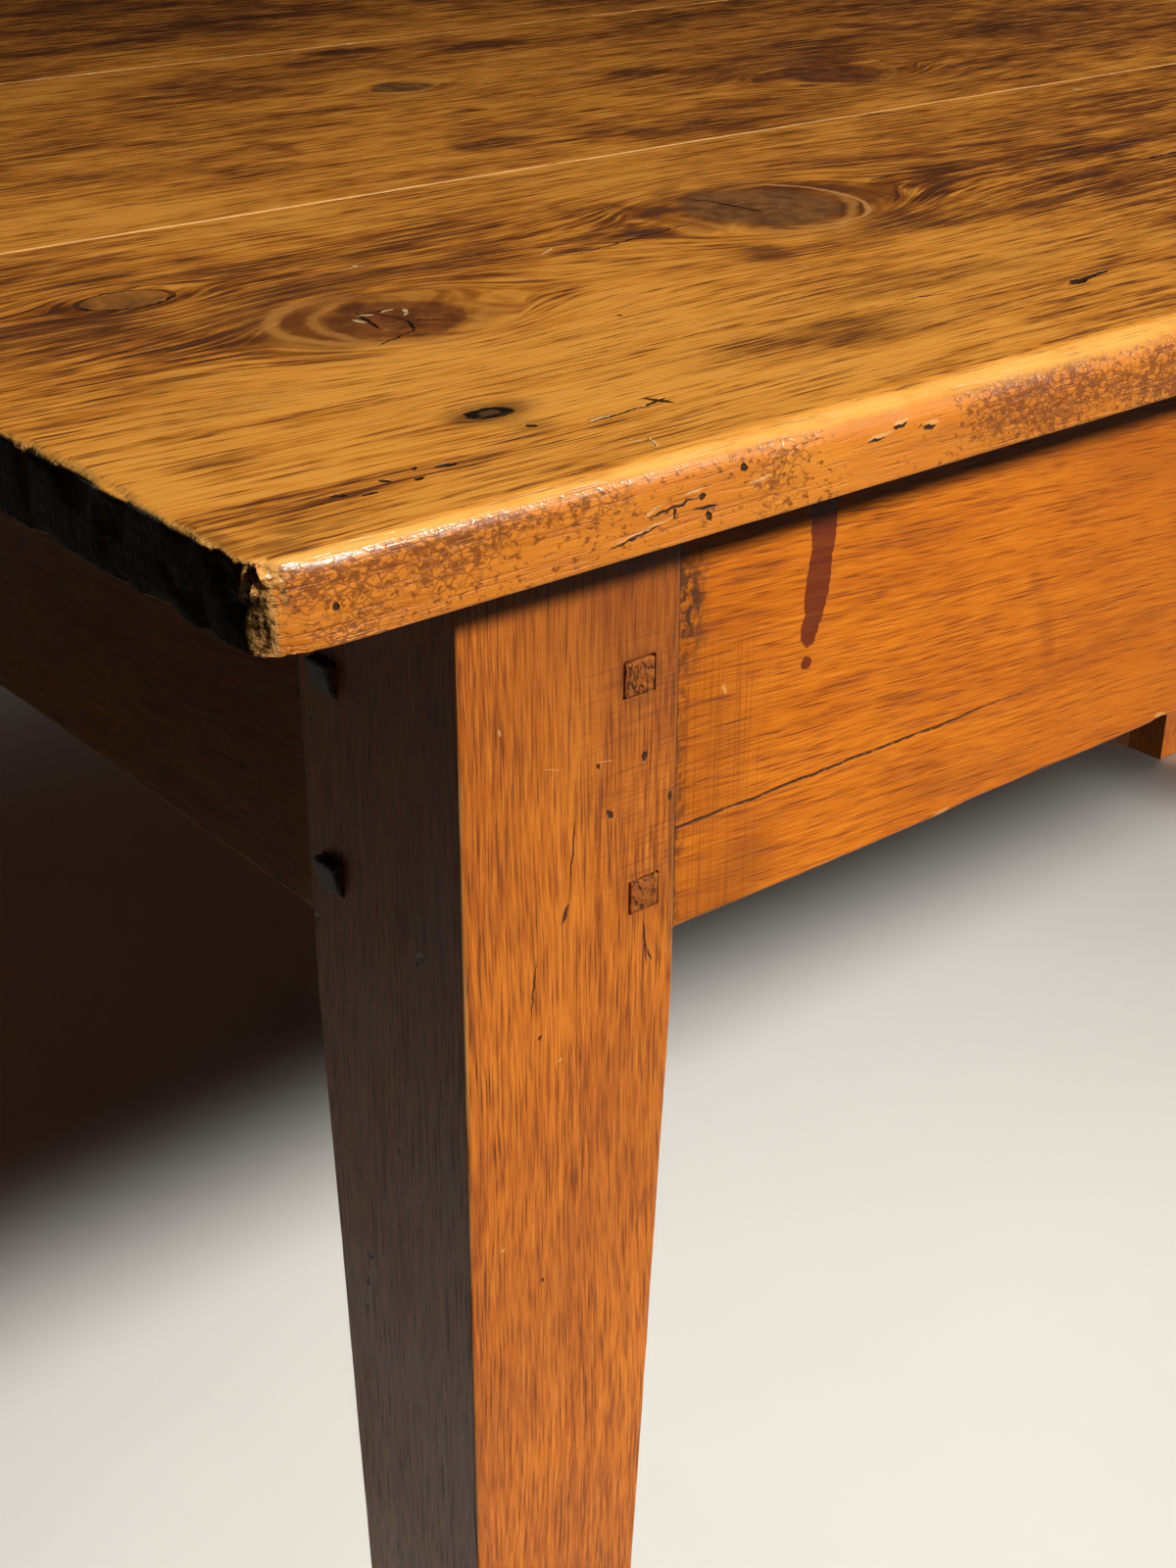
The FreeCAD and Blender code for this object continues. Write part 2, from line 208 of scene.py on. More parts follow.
class Mat:
    def __init__(self, name, spec=0.5, coat=0.0, coat_rough=0.25):
        self.m = bpy.data.materials.new(name)
        self.m.use_nodes = True
        self.t = self.m.node_tree
        self.t.nodes.clear()
        out = self.t.nodes.new("ShaderNodeOutputMaterial")
        self.b = self.t.nodes.new("ShaderNodeBsdfPrincipled")
        self.t.links.new(self.b.outputs[0], out.inputs["Surface"])
        self.b.inputs["Specular IOR Level"].default_value = spec
        self.b.inputs["Coat Weight"].default_value = coat
        self.b.inputs["Coat Roughness"].default_value = coat_rough
        self.place = self.t.nodes.new("ShaderNodeTexCoord").outputs["Object"]
        # position in mm
        self.x, self.y, self.z = self.sep(self.stretch((1, 1, 1)))
        self.at = (self.x, self.y, self.z)
        geo = self.t.nodes.new("ShaderNodeNewGeometry")
        self.nx, self.ny, self.nz = self.sep(E(self, geo.outputs["Normal"]))

    def put(self, sock, v):
        if isinstance(v, E):
            self.t.links.new(v.sock, sock)
        elif isinstance(v, tuple) and len(v) == 3 and sock.type == "RGBA":
            sock.default_value = (*v, 1.0)
        else:
            sock.default_value = v

    def f(self, op, a, b=None, c=None):
        n = self.t.nodes.new("ShaderNodeMath")
        n.operation = op
        for k, v in enumerate((a, b, c)):
            if v is not None:
                self.put(n.inputs[k], v)
        return E(self, n.outputs[0])

    def off(self, v):
        return self.f("ABSOLUTE", v)

    def sep(self, v):
        n = self.t.nodes.new("ShaderNodeSeparateXYZ")
        self.put(n.inputs[0], v)
        return [E(self, o) for o in n.outputs]

    def stretch(self, scale, offset=(0, 0, 0)):
        """Position scaled per axis (features per mm)."""
        n = self.t.nodes.new("ShaderNodeMapping")
        self.t.links.new(self.place, n.inputs["Vector"])
        n.inputs["Location"].default_value = offset
        n.inputs["Scale"].default_value = [1000.0 * s for s in scale]
        return E(self, n.outputs[0])

    def noise(self, v, detail=3.0, rough=0.5, dist=0.0, w=None):
        n = self.t.nodes.new("ShaderNodeTexNoise")
        self.put(n.inputs["Vector"], v)
        if w is not None:
            n.noise_dimensions = "4D"
            self.put(n.inputs["W"], w)
        n.inputs["Scale"].default_value = 1.0
        n.inputs["Detail"].default_value = detail
        n.inputs["Roughness"].default_value = rough
        n.inputs["Distortion"].default_value = dist
        return E(self, n.outputs["Fac"])

    def cells(self, v, feature="F1"):
        n = self.t.nodes.new("ShaderNodeTexVoronoi")
        n.feature = feature
        self.put(n.inputs["Vector"], v)
        n.inputs["Scale"].default_value = 1.0
        return E(self, n.outputs["Distance"])

    def step(self, v, e0, e1, lo=0.0, hi=1.0):
        n = self.t.nodes.new("ShaderNodeMapRange")
        n.interpolation_type = "SMOOTHSTEP"
        for k, w in enumerate((v, e0, e1, lo, hi)):
            self.put(n.inputs[k], w)
        return E(self, n.outputs[0])

    def ramp(self, fac, *stops):
        n = self.t.nodes.new("ShaderNodeValToRGB")
        cr = n.color_ramp
        cr.elements[0].position, cr.elements[0].color = stops[0][0], (*stops[0][1], 1)
        cr.elements[1].position, cr.elements[1].color = stops[-1][0], (*stops[-1][1], 1)
        for p, c in stops[1:-1]:
            cr.elements.new(p).color = (*c, 1)
        self.put(n.inputs[0], fac)
        return E(self, n.outputs["Color"])

    def mix(self, fac, a, b, mode="MIX"):
        n = self.t.nodes.new("ShaderNodeMix")
        n.data_type, n.blend_type = "RGBA", mode
        self.put(n.inputs[0], fac)
        self.put(n.inputs[6], a)
        self.put(n.inputs[7], b)
        return E(self, n.outputs[2])

    def most(self, *vs):
        out = vs[0]
        for v in vs[1:]:
            out = self.f("MAXIMUM", out, v)
        return out

    def wobble(self, amount, scale, seed=0.0, detail=1.0):
        """The position moved about by up to amount mm, so that outlines drawn with it aren't clean."""
        n = self.t.nodes.new("ShaderNodeTexNoise")
        self.put(n.inputs["Vector"], self.stretch((scale,) * 3, (seed,) * 3))
        n.inputs["Scale"].default_value = 1.0
        n.inputs["Detail"].default_value = detail
        s = self.t.nodes.new("ShaderNodeSeparateColor")
        self.t.links.new(n.outputs["Color"], s.inputs[0])
        return tuple(self.f("MULTIPLY_ADD", E(self, o), 2.0 * amount, c - amount) for o, c in zip(s.outputs, self.at))

    def oval(self, at, c0, c1, h0, h1, turn=0.0, plane="xy"):
        """Distance from an oval's centre: 1 on its outline. turn is in degrees, from the first axis to the second."""
        p, q = (at["xyz".index(c)] for c in plane)
        t = math.radians(turn)
        cs, sn = math.cos(t), math.sin(t)
        if abs(sn) < 1e-6:
            u = self.f("MULTIPLY_ADD", p, 1.0 / h0, -c0 / h0)
            v = self.f("MULTIPLY_ADD", q, 1.0 / h1, -c1 / h1)
        else:
            u = self.f("MULTIPLY_ADD", q, sn / h0, self.f("MULTIPLY_ADD", p, cs / h0, -(c0 * cs + c1 * sn) / h0))
            v = self.f("MULTIPLY_ADD", q, cs / h1, self.f("MULTIPLY_ADD", p, -sn / h1, (c0 * sn - c1 * cs) / h1))
        return self.f("SQRT", self.f("MULTIPLY_ADD", v, v, u * u))

    def marks(self, at, plane, rows, soft=0.3):
        """Joined mask of small ovals: rows of (c0, c1, half length, half width, turn)."""
        out = None
        for r in rows:
            m = self.step(self.oval(at, *r[:5], plane=plane), 1.0 + soft, 1.0 - soft)
            out = m if out is None else self.f("MAXIMUM", out, m)
        return out

    def finish(self, colour, rough, height, spec=None):
        self.put(self.b.inputs["Base Color"], colour)
        if spec is not None:
            self.put(self.b.inputs["Specular IOR Level"], spec)
        self.put(self.b.inputs["Roughness"], rough)
        n = self.t.nodes.new("ShaderNodeBump")
        n.inputs["Strength"].default_value = 1.0
        n.inputs["Distance"].default_value = 0.001
        self.put(n.inputs["Height"], height)
        self.t.links.new(n.outputs[0], self.b.inputs["Normal"])
        return self.m


def stroke(a, b, half):
    """A thin oval laid from a to b, as one row for marks()."""
    return ((a[0] + b[0]) / 2, (a[1] + b[1]) / 2, math.hypot(b[0] - a[0], b[1] - a[1]) / 2, half,
            math.degrees(math.atan2(b[1] - a[1], b[0] - a[0])))


# ------------------------------------------------------------------ wood of the top
PALE, GOLD, MID = (0.80, 0.338, 0.050), (0.60, 0.218, 0.024), (0.42, 0.138, 0.0150)
BROWN, DARK, BLACK = (0.220, 0.062, 0.0080), (0.070, 0.019, 0.0042), (0.011, 0.0065, 0.004)
RAW, RAW_DARK = (0.34, 0.215, 0.115), (0.17, 0.10, 0.05)


def top_wood(name, seed, base, knots, tones, stains, marks=(), chips=(), nose=0, seam=False, extra=None):
    """knots: (x, y, half x, half y, kind). tones: (x, y, half, half, turn, lighter or darker).
    stains: (x, y, half, half, turn, strength). marks and chips: rows for marks().
    nose: -1 or 1 where the board has the table's rounded long edge. seam: the front arris at the joint is painted pale,
    partly wear and partly painted highlight."""
    g = Mat(name, spec=0.40)
    x, y, z = g.at
    # the grain runs along X, wanders slowly, and parts around each knot
    slow = g.noise(g.stretch((0.0017, 0.006, 0.006), (seed, seed, seed)), 2.0)
    quick = g.noise(g.stretch((0.012, 0.035, 0.035), (seed + 5, seed, seed)), 2.0)
    q = g.f("MULTIPLY_ADD", slow, 30.0, y - 15.0)
    q = g.f("MULTIPLY_ADD", quick, 3.4, q - 1.7)
    for kx, ky, hx, hy, kind in knots:
        size = 1.1 * (hx + hy) / 2 if kind != "black" else 1.2 * hy
        dx = g.f("MULTIPLY_ADD", x, 0.62, -0.62 * kx)
        dy = y - ky
        r2 = g.f("MULTIPLY_ADD", dx, dx, dy * dy)
        pull = g.f("DIVIDE", size * size, g.f("MAXIMUM", r2, size * size))
        pull = pull * g.f("EXPONENT", r2 * (-1.0 / (2.9 * size) ** 2))
        q = q - dy * pull
    band = g.noise(g.stretch((0.0036, 0.0, 0.085), (seed, 0, seed)), 4.0, 0.55, w=q * 0.085)
    line = g.noise(g.stretch((0.017, 0.0, 0.30), (seed, 0, seed)), 3.0, 0.72, w=q * 0.30)
    hair = g.noise(g.stretch((0.040, 0.0, 0.80), (seed, 0, seed)), 2.0, 0.70, w=q * 0.80)
    patch = g.noise(g.stretch((0.006, 0.011, 0.011), (seed * 3.1, seed, 0)), 4.0, 0.62)
    blot = g.noise(g.stretch((0.030, 0.055, 0.055), (seed * 1.7, seed, 0)), 4.0, 0.66)
    soft = g.wobble(6.0, 0.05, seed, 2.0)
    fine = g.wobble(0.9, 0.38, seed + 3)
    value = (band - 0.5) * 0.55 + (line - 0.5) * 0.85 + (hair - 0.5) * 1.60 + (patch - 0.5) * 1.30 + (blot - 0.5) * 0.75 + (base + 0.47)
    for tx, ty, a, b, turn, amount in tones:
        value = g.f("MULTIPLY_ADD", g.step(g.oval(soft, tx, ty, a, b, turn), 1.25, 0.1), amount * 1.7 if amount < 0 else amount, value)
    colour = g.ramp(value, (0.05, DARK), (0.28, BROWN), (0.46, MID), (0.64, GOLD), (0.95, PALE))
    # open pores and dark grain, denser where the wax has gone brown
    dash = g.step(hair + (line - 0.5) * 0.25 + (value - 0.5) * 0.12, 0.46, 0.36)
    colour = g.mix(dash * 0.56, colour, DARK)
    streak = g.step(line + (band - 0.5) * 0.5 + (blot - 0.5) * 0.4, 0.35, 0.26)
    colour = g.mix(streak * 0.36, colour, DARK)
    glint = g.step(hair + (line - 0.5) * 0.3 + (value - 0.5) * 0.15, 0.56, 0.66)
    colour = g.mix(glint * 0.60, colour, PALE)
    height = (line - 0.5) * 0.34 - dash * 0.09 - streak * 0.10 + (hair - 0.5) * 0.22

    for sx, sy, a, b, turn, strength in stains:
        s = g.step(g.oval(soft, sx, sy, a, b, turn), 1.25, 0.25)
        s = s * g.step(line + (blot - 0.5) * 0.8, 0.34, 0.62, 1.0, 0.5)
        colour = g.mix(s * strength, colour, (0.095, 0.032, 0.0085))

    for kx, ky, hx, hy, kind in knots:
        rho = g.oval(fine, kx, ky, hx, hy)
        grit = g.noise(g.stretch((0.11, 0.11, 0.0), (kx * 0.1, ky * 0.1, seed)), 4.0, 0.65)
        if kind == "open":          # a loose knot: a dark seam round wood of the board's own colour
            inside = g.step(rho, 1.02, 0.94)
            colour = g.mix(inside * 0.55, colour, g.mix(grit, (0.16, 0.060, 0.014), (0.36, 0.160, 0.036)))
            rim = g.step(g.off(rho - 1.0), 0.10, 0.035)
            colour = g.mix(rim * g.step(grit, 0.40, 0.55, 0.35, 1.0), colour, BLACK)
            # painted highlight on the far lip of the seam round the knot
            lip_highlight = g.step(g.off(rho - 0.84), 0.07, 0.02) * g.step(y, ky + 0.3 * hy, ky + 0.8 * hy)
            colour = g.mix(lip_highlight * g.step(grit, 0.45, 0.58) * 0.8, colour, (0.72, 0.52, 0.30))
            height = height - rim * 0.35
        elif kind == "black":       # a small dead knot
            body = g.step(rho + (grit - 0.5) * 1.1, 1.05, 0.75)
            colour = g.mix(g.step(rho, 2.6, 0.9) * 0.6, colour, DARK)
            colour = g.mix(body, colour, g.mix(g.step(rho, 0.34, 0.52), (0.095, 0.046, 0.015), BLACK))
            height = height - body * 0.3
        else:                       # a sound knot, almond-shaped, its border lost in the grain
            u = g.f("MULTIPLY_ADD", fine[0], 1.0 / hx, -kx / hx)
            v = g.f("MULTIPLY_ADD", fine[1], 1.0 / hy, -ky / hy) * (g.f("MAXIMUM", u, 0.0) * 0.45 + 1.0)
            rho = g.f("SQRT", g.f("MULTIPLY_ADD", v, v, u * u)) + (grit - 0.5) * 0.22 + (line - 0.5) * 0.18
            inside = g.step(rho, 1.06, 0.80)
            core, far = ((0.098, 0.027, 0.0075), (0.225, 0.067, 0.014)) if kind == "red" else ((0.125, 0.048, 0.0150), (0.250, 0.104, 0.030))
            core = g.mix(g.step(grit + (hair - 0.5) * 0.7, 0.36, 0.66), core, far)
            halo = g.step(rho, 2.3, 1.0) * g.step(line + (patch - 0.5) * 0.8, 0.62, 0.40)
            colour = g.mix(halo * 0.45, colour, (0.16, 0.050, 0.010))
            lit = g.step(g.off(rho - 1.16), 0.13, 0.02) * g.step(v + (grit - 0.5) * 1.6, 0.35, -0.35)
            colour = g.mix(lit * (0.30 if kind == "red" else 0.55), colour, (0.60, 0.255, 0.052))
            colour = g.mix(inside * 0.94, colour, core)
            height = height + inside * 0.03 - g.step(g.off(rho - 0.98), 0.06, 0.01) * 0.06
    if extra:
        colour, height = extra(g, colour, height, dict(fine=fine, soft=soft, line=line, hair=hair, blot=blot))
    if marks:
        m = g.marks(fine, "xy", marks)
        colour = g.mix(m * 0.94, colour, BLACK)
        height = height - m * 0.9
    if chips:
        m = g.marks(fine, "xy", chips)
        colour = g.mix(m * 0.85, colour, (0.70, 0.47, 0.22))
        height = height + m * 0.25
    # worm holes, in clusters
    hole = g.step(g.cells(g.stretch((0.022, 0.022, 0.022), (seed, 2.0, 1.0))), 0.026, 0.016) * g.step(patch, 0.55, 0.60)
    colour = g.mix(hole * 0.95, colour, BLACK)
    height = height - hole * 0.8
    # pale scratches from use
    scr = g.step(g.noise(g.stretch((0.05, 0.9, 0.9), (seed, 4, 4)), 1.0, 0.4, 1.4), 0.735, 0.77)
    colour = g.mix(scr * 0.4, colour, (0.78, 0.50, 0.22))
    rough = 0.46 + (blot - 0.5) * 0.22 + (0.5 - value) * 0.10 + dash * 0.12

    # arrises painted pale: partly rubbed by hands and cloths, partly painted highlight where the rounded edges face the
    # lamp
    up = g.step(g.nz, 0.10, 0.35) * g.step(g.nz, 0.985, 0.88)
    if nose:
        colour = g.mix(up * g.step(blot, 0.30, 0.6, 0.35, 0.85), colour, (0.84, 0.420, 0.092))
        rough = rough - g.step(g.nz, 0.35, 0.62) * g.step(g.nz, 0.985, 0.88) * 0.19
    if seam:
        # pale front arris at the joint: wear and a painted highlight
        colour = g.mix(g.step(g.ny, -0.10, -0.40) * g.step(g.nz, 0.15, 0.4) * 0.75, colour, (0.74, 0.40, 0.135))

    if nose:
        # the long edge: handled, speckled and crazed
        facing = g.step(g.ny * float(nose), 0.62, 0.92)
        wide = g.noise(g.stretch((0.016, 0.0, 0.03), (seed, 1, 2)), 3.0, 0.6)
        grit = g.noise(g.stretch((0.36, 0.36, 0.52)), 3.0, 0.68)
        net = g.cells(g.stretch((0.30, 0.30, 0.44)), "DISTANCE_TO_EDGE")
        dense = wide
        if nose < 0:
            for c in ((-712.0, 748.0, 52.0, 18.0, 0.12), (-660.0, 754.0, 40.0, 8.0, 0.08), (-505.0, 750.0, 34.0, 14.0, 0.32), (-440.0, 746.0, 50.0, 10.0, 0.14), (-575.0, 748.0, 25.0, 12.0, -0.16)):
                dense = g.f("MULTIPLY_ADD", g.step(g.oval(soft, *c[:4], 0, "xz"), 1.3, 0.2), c[4], dense)
        speck = g.step(grit + (dense - 0.5) * 0.62, 0.53, 0.66)
        lines = g.step(net, 0.12, 0.02) * g.step(dense, 0.46, 0.64)
        face = g.ramp(wide * 0.45 + line * 0.55 + hair * 0.15 - 0.07, (0.22, (0.31, 0.082, 0.007)), (0.47, (0.58, 0.178, 0.015)), (0.75, (0.74, 0.275, 0.030)))
        face = g.mix(g.most(speck * 0.80, lines * 0.66), face, (0.150, 0.036, 0.0060))
        face = g.mix(g.step(dense, 0.62, 0.86) * 0.38, face, (0.19, 0.055, 0.010))
        colour = g.mix(facing, colour, face)
        height = height - facing * (speck * 0.05 + lines * 0.05)
        if nose < 0:
            # worm tracks and a pin hole near the worn corner, with painted highlights on the upper lips of the tracks
            tracks = g.marks(fine, "xz", [
                stroke((-640.5, 747.2), (-626.3, 748.6), 0.34), stroke((-652.6, 742.0), (-638.9, 744.0), 0.30), (-633.2, 746.2, 0.45, 1.2, 0),
                stroke((-627.0, 746.0), (-620.3, 745.4), 0.40), (-622.2, 743.2, 0.7, 1.4, 0), (-624.6, 748.6, 1.0, 0.7, 0),
                (-611.3, 752.9, 0.95, 0.80, 0), (-727.0, 747.2, 0.9, 0.8, 0), (-558.0, 752.4, 2.3, 0.45, 5), (-566.5, 750.4, 2.6, 0.4, 4), (-547.0, 750.0, 2.2, 0.45, -4)])
            track_lip_highlights = g.marks(fine, "xz", [(-565.0, 751.4, 4.0, 0.5, 4), (-557.0, 753.2, 2.6, 0.45, 5), (-546.0, 751.0, 2.6, 0.45, -4), (-640.0, 748.4, 2.5, 0.4, 20), (-642.0, 744.4, 9.0, 0.35, 8),
                                        (-627.0, 750.6, 3.0, 0.5, 8), (-606.0, 748.8, 3.6, 0.4, 6)])
            colour = g.mix(track_lip_highlights * facing * 0.38, colour, (0.80, 0.54, 0.27))
            colour = g.mix(tracks * facing * 0.95, colour, BLACK)
            height = height - tracks * facing * 0.7

    # sawn ends, grey-black and open: the end grain's own dark colour, darkened further with painted shade
    end = g.step(g.off(g.nx), 0.62, 0.90)
    arcs = g.f("SINE", g.f("SQRT", g.f("MULTIPLY_ADD", y + seed * 20.0, (y + seed * 20.0) * 0.04, (z - 640.0) * (z - 640.0))) * 1.5 + patch * 8.0)
    pores = g.noise(g.stretch((0.3, 0.55, 0.55)), 3.0, 0.7)
    gap = g.noise(g.stretch((0.2, 0.13, 0.03), (seed, 0, 0)), 2.0, 0.6)
    gap = g.step(g.off(gap - 0.5), 0.022, 0.006) * end
    end_grain_and_shade = g.ramp(pores * 0.8 + arcs * 0.06 + 0.08, (0.3, (0.006, 0.0045, 0.0032)), (0.55, (0.021, 0.0145, 0.0095)), (0.8, (0.062, 0.040, 0.023)))
    end_grain_and_shade = g.mix(gap, end_grain_and_shade, BLACK)
    colour = g.mix(end, colour, end_grain_and_shade)
    height = height + end * (pores * 0.5 + arcs * 0.05) - gap * 0.8
    rough = rough + end * 0.25
    # lighter corner where the long edge meets the sawn end: partly worn wood, partly painted light where the corner
    # turns towards the lamp
    if nose:
        turn = g.step(g.off(g.nx), 0.25, 0.5) * g.step(g.off(g.nx), 0.99, 0.90) * g.step(g.ny * float(nose), 0.1, 0.3)
        colour = g.mix(turn * 0.90, colour, g.mix(g.step(pores, 0.38, 0.52), (0.16, 0.066, 0.020), (0.68, 0.34, 0.090)))

    # unfinished, sawn underside
    below = g.step(g.nz, -0.6, -0.9)
    saw = g.noise(g.stretch((0.55, 0.010, 0.01), (seed, 0, 0)), 2.0, 0.6)
    raw = g.mix(line * 0.8 + band * 0.5 - 0.15, RAW_DARK, RAW)
    raw = g.mix(dash * 0.5, raw, (0.09, 0.055, 0.03))
    raw = g.mix(g.step(patch, 0.50, 0.66) * 0.4, raw, (0.12, 0.080, 0.050))
    colour = g.mix(below, colour, raw)
    height = height + below * saw * 0.3
    rough = rough + below * 0.3
    shine = 0.40 - end * 0.34 - below * 0.2 - g.step(g.off(g.ny), 0.8, 0.95) * 0.08
    if nose:
        shine = shine + g.step(g.nz, 0.35, 0.62) * g.step(g.nz, 0.985, 0.88) * 0.45
    return g.finish(colour, rough, height, shine)


def near_knots(g, colour, height, s):
    """The two knots nearest the worn corner: a pale ring beside one, smoke and a rim beside the other."""
    fine, line, blot = s["fine"], s["line"], s["blot"]
    rag = (line - 0.5) * 0.30 + (blot - 0.5) * 0.25
    out = g.oval(fine, -621.0, -256.0, 27.5, 25.5) + rag
    left = g.step(g.x + (blot - 0.5) * 20.0, -606.0, -632.0)
    smoke = g.step(out, 1.95, 1.05) * g.step(g.x, -622.0, -650.0)
    colour = g.mix(smoke * g.step(line, 0.60, 0.42, 0.35, 1.0) * 0.80, colour, (0.105, 0.030, 0.0075))
    red = g.step(out, 1.0, 0.80) * g.step(g.oval(fine, -613.5, -261.0, 23.0, 22.0), 0.9, 1.1)
    colour = g.mix(red * left * 0.75, colour, (0.165, 0.044, 0.0080))
    ring = g.step(g.off(out - 0.98), 0.13, 0.03) * left
    colour = g.mix(ring * 0.85, colour, (0.50, 0.205, 0.040))
    ring = g.step(g.off(g.oval(fine, -611.0, -262.0, 26.5, 25.5) + rag - 1.0), 0.12, 0.03) * g.step(g.x, -606.0, -622.0)
    colour = g.mix(ring * 0.60, colour, (0.50, 0.205, 0.040))
    rim = g.step(g.off(g.oval(fine, -434.0, -222.0, 31.5, 32.5) + rag * 0.4 - 1.0), 0.055, 0.012) * g.step(g.x - g.y * 0.6, -312.0, -288.0)
    colour = g.mix(rim * 0.75, colour, (0.66, 0.30, 0.085))
    arc = g.step(g.off(g.oval(fine, -440.0, -221.0, 43.0, 40.0) + rag * 0.5 - 1.0), 0.05, 0.012) * g.step(g.x, -425.0, -400.0)
    colour = g.mix(arc * 0.5, colour, (0.13, 0.040, 0.009))
    return colour, height - rim * 0.05


# ------------------------------------------------------------------ wood of the base
def base_wood(name, along, colours, seed=0.0, slope=0.0, raw=None, extra=None, tone=0.0, spec=0.20):
    """along: the grain's axis. colours: dark, brown, body, pale. raw: outward direction of an unfinished face.
    extra adds the marks of one piece."""
    g = Mat(name, spec=spec)
    x, y, z = g.at
    dark, brown, body, pale = colours
    bend = g.noise(g.stretch((0.010, 0.010, 0.006) if along == "z" else (0.006, 0.006, 0.012), (seed, seed, seed)), 2.0)
    if along == "z":
        b = g.f("MULTIPLY_ADD", bend, 9.0, x)
        def s(fa, fc): return g.stretch((0.0, fc, fa), (seed, seed, 0))
    elif along == "x":
        b = g.f("MULTIPLY_ADD", bend, 9.0, g.f("MULTIPLY_ADD", x, slope, z))
        def s(fa, fc): return g.stretch((fa, fc, 0.0), (seed, seed, 0))
    else:
        b = g.f("MULTIPLY_ADD", bend, 9.0, g.f("MULTIPLY_ADD", y, slope, z))
        def s(fa, fc): return g.stretch((fc, fa, 0.0), (seed, seed, 0))
    band = g.noise(s(0.0045, 0.055), 3.0, 0.55, w=b * 0.055)
    line = g.noise(s(0.017, 0.55), 3.0, 0.68, w=b * 0.55)
    pore = g.noise(s(0.046, 1.25), 2.0, 0.70, w=b * 1.25)
    tiny = g.noise(s(0.095, 2.1), 1.0, 0.5, w=b * 2.1)
    patch = g.noise(g.stretch((0.012, 0.012, 0.012), (seed, 2, 1)), 3.0, 0.6)
    value = (band - 0.5) * 0.70 + (line - 0.5) * 0.45 + (pore - 0.5) * (1.30 if along == "z" else 1.00) + (tiny - 0.5) * 1.1 + (patch - 0.5) * 0.80 + (0.54 + tone)
    colour = g.ramp(value, (0.10, brown), (0.48, body), (0.90, pale))
    dash = g.step(pore + (line - 0.5) * 0.20, 0.47, 0.36)
    colour = g.mix(dash * (0.36 if along == "z" else 0.28), colour, dark)
    speck = g.step(tiny + (pore - 0.5) * 0.5, 0.40, 0.27)
    colour = g.mix(speck * 0.45, colour, dark)
    height = (line - 0.5) * 0.08 - dash * 0.055 + (pore - 0.5) * 0.05 - speck * 0.02
    rough = 0.44 + (patch - 0.5) * 0.22 + dash * 0.1
    fine = g.wobble(0.7, 0.4, seed + 2)
    # rubs, dents and stray scratches
    scr = g.step(g.noise(g.stretch((0.16, 0.16, 0.8), (seed, 1, 3)), 1.0, 0.4, 2.2), 0.755, 0.785)
    colour = g.mix(scr * 0.25, colour, (0.75, 0.40, 0.14))
    hole = g.step(g.cells(g.stretch((0.016,) * 3, (seed, 1.0, 1.0))), 0.018, 0.011) * g.step(patch, 0.50, 0.56)
    colour = g.mix(hole * 0.95, colour, BLACK)
    height = height - hole * 0.8
    # arrises: pale rubs here and there
    ax, ay, az = g.off(g.nx), g.off(g.ny), g.off(g.nz)
    arris = g.step(g.most(ax, ay, az), 0.97, 0.86)
    colour = g.mix(arris * g.step(line + patch, 0.90, 1.12) * 0.5, colour, (0.72, 0.40, 0.13))
    if extra:
        colour, rough, height = extra(g, colour, rough, height, dict(fine=fine, patch=patch, line=line, band=band, dash=dash, pore=pore))
    if raw:
        axis, sign = raw
        inner = g.step((g.nx, g.ny, g.nz)["xyz".index(axis)] * float(sign), 0.6, 0.9)
        saw = g.noise(g.stretch((0.5, 0.5, 0.02), (seed, 0, 0)), 2.0, 0.6)
        dull = g.mix(line * 0.8 + band * 0.5 - 0.15, RAW_DARK, RAW)
        dull = g.mix(dash * 0.5, dull, (0.09, 0.055, 0.03))
        colour = g.mix(inner, colour, dull)
        height = height + inner * saw * 0.3
        rough = rough + inner * 0.3
    return g.finish(colour, rough, height)


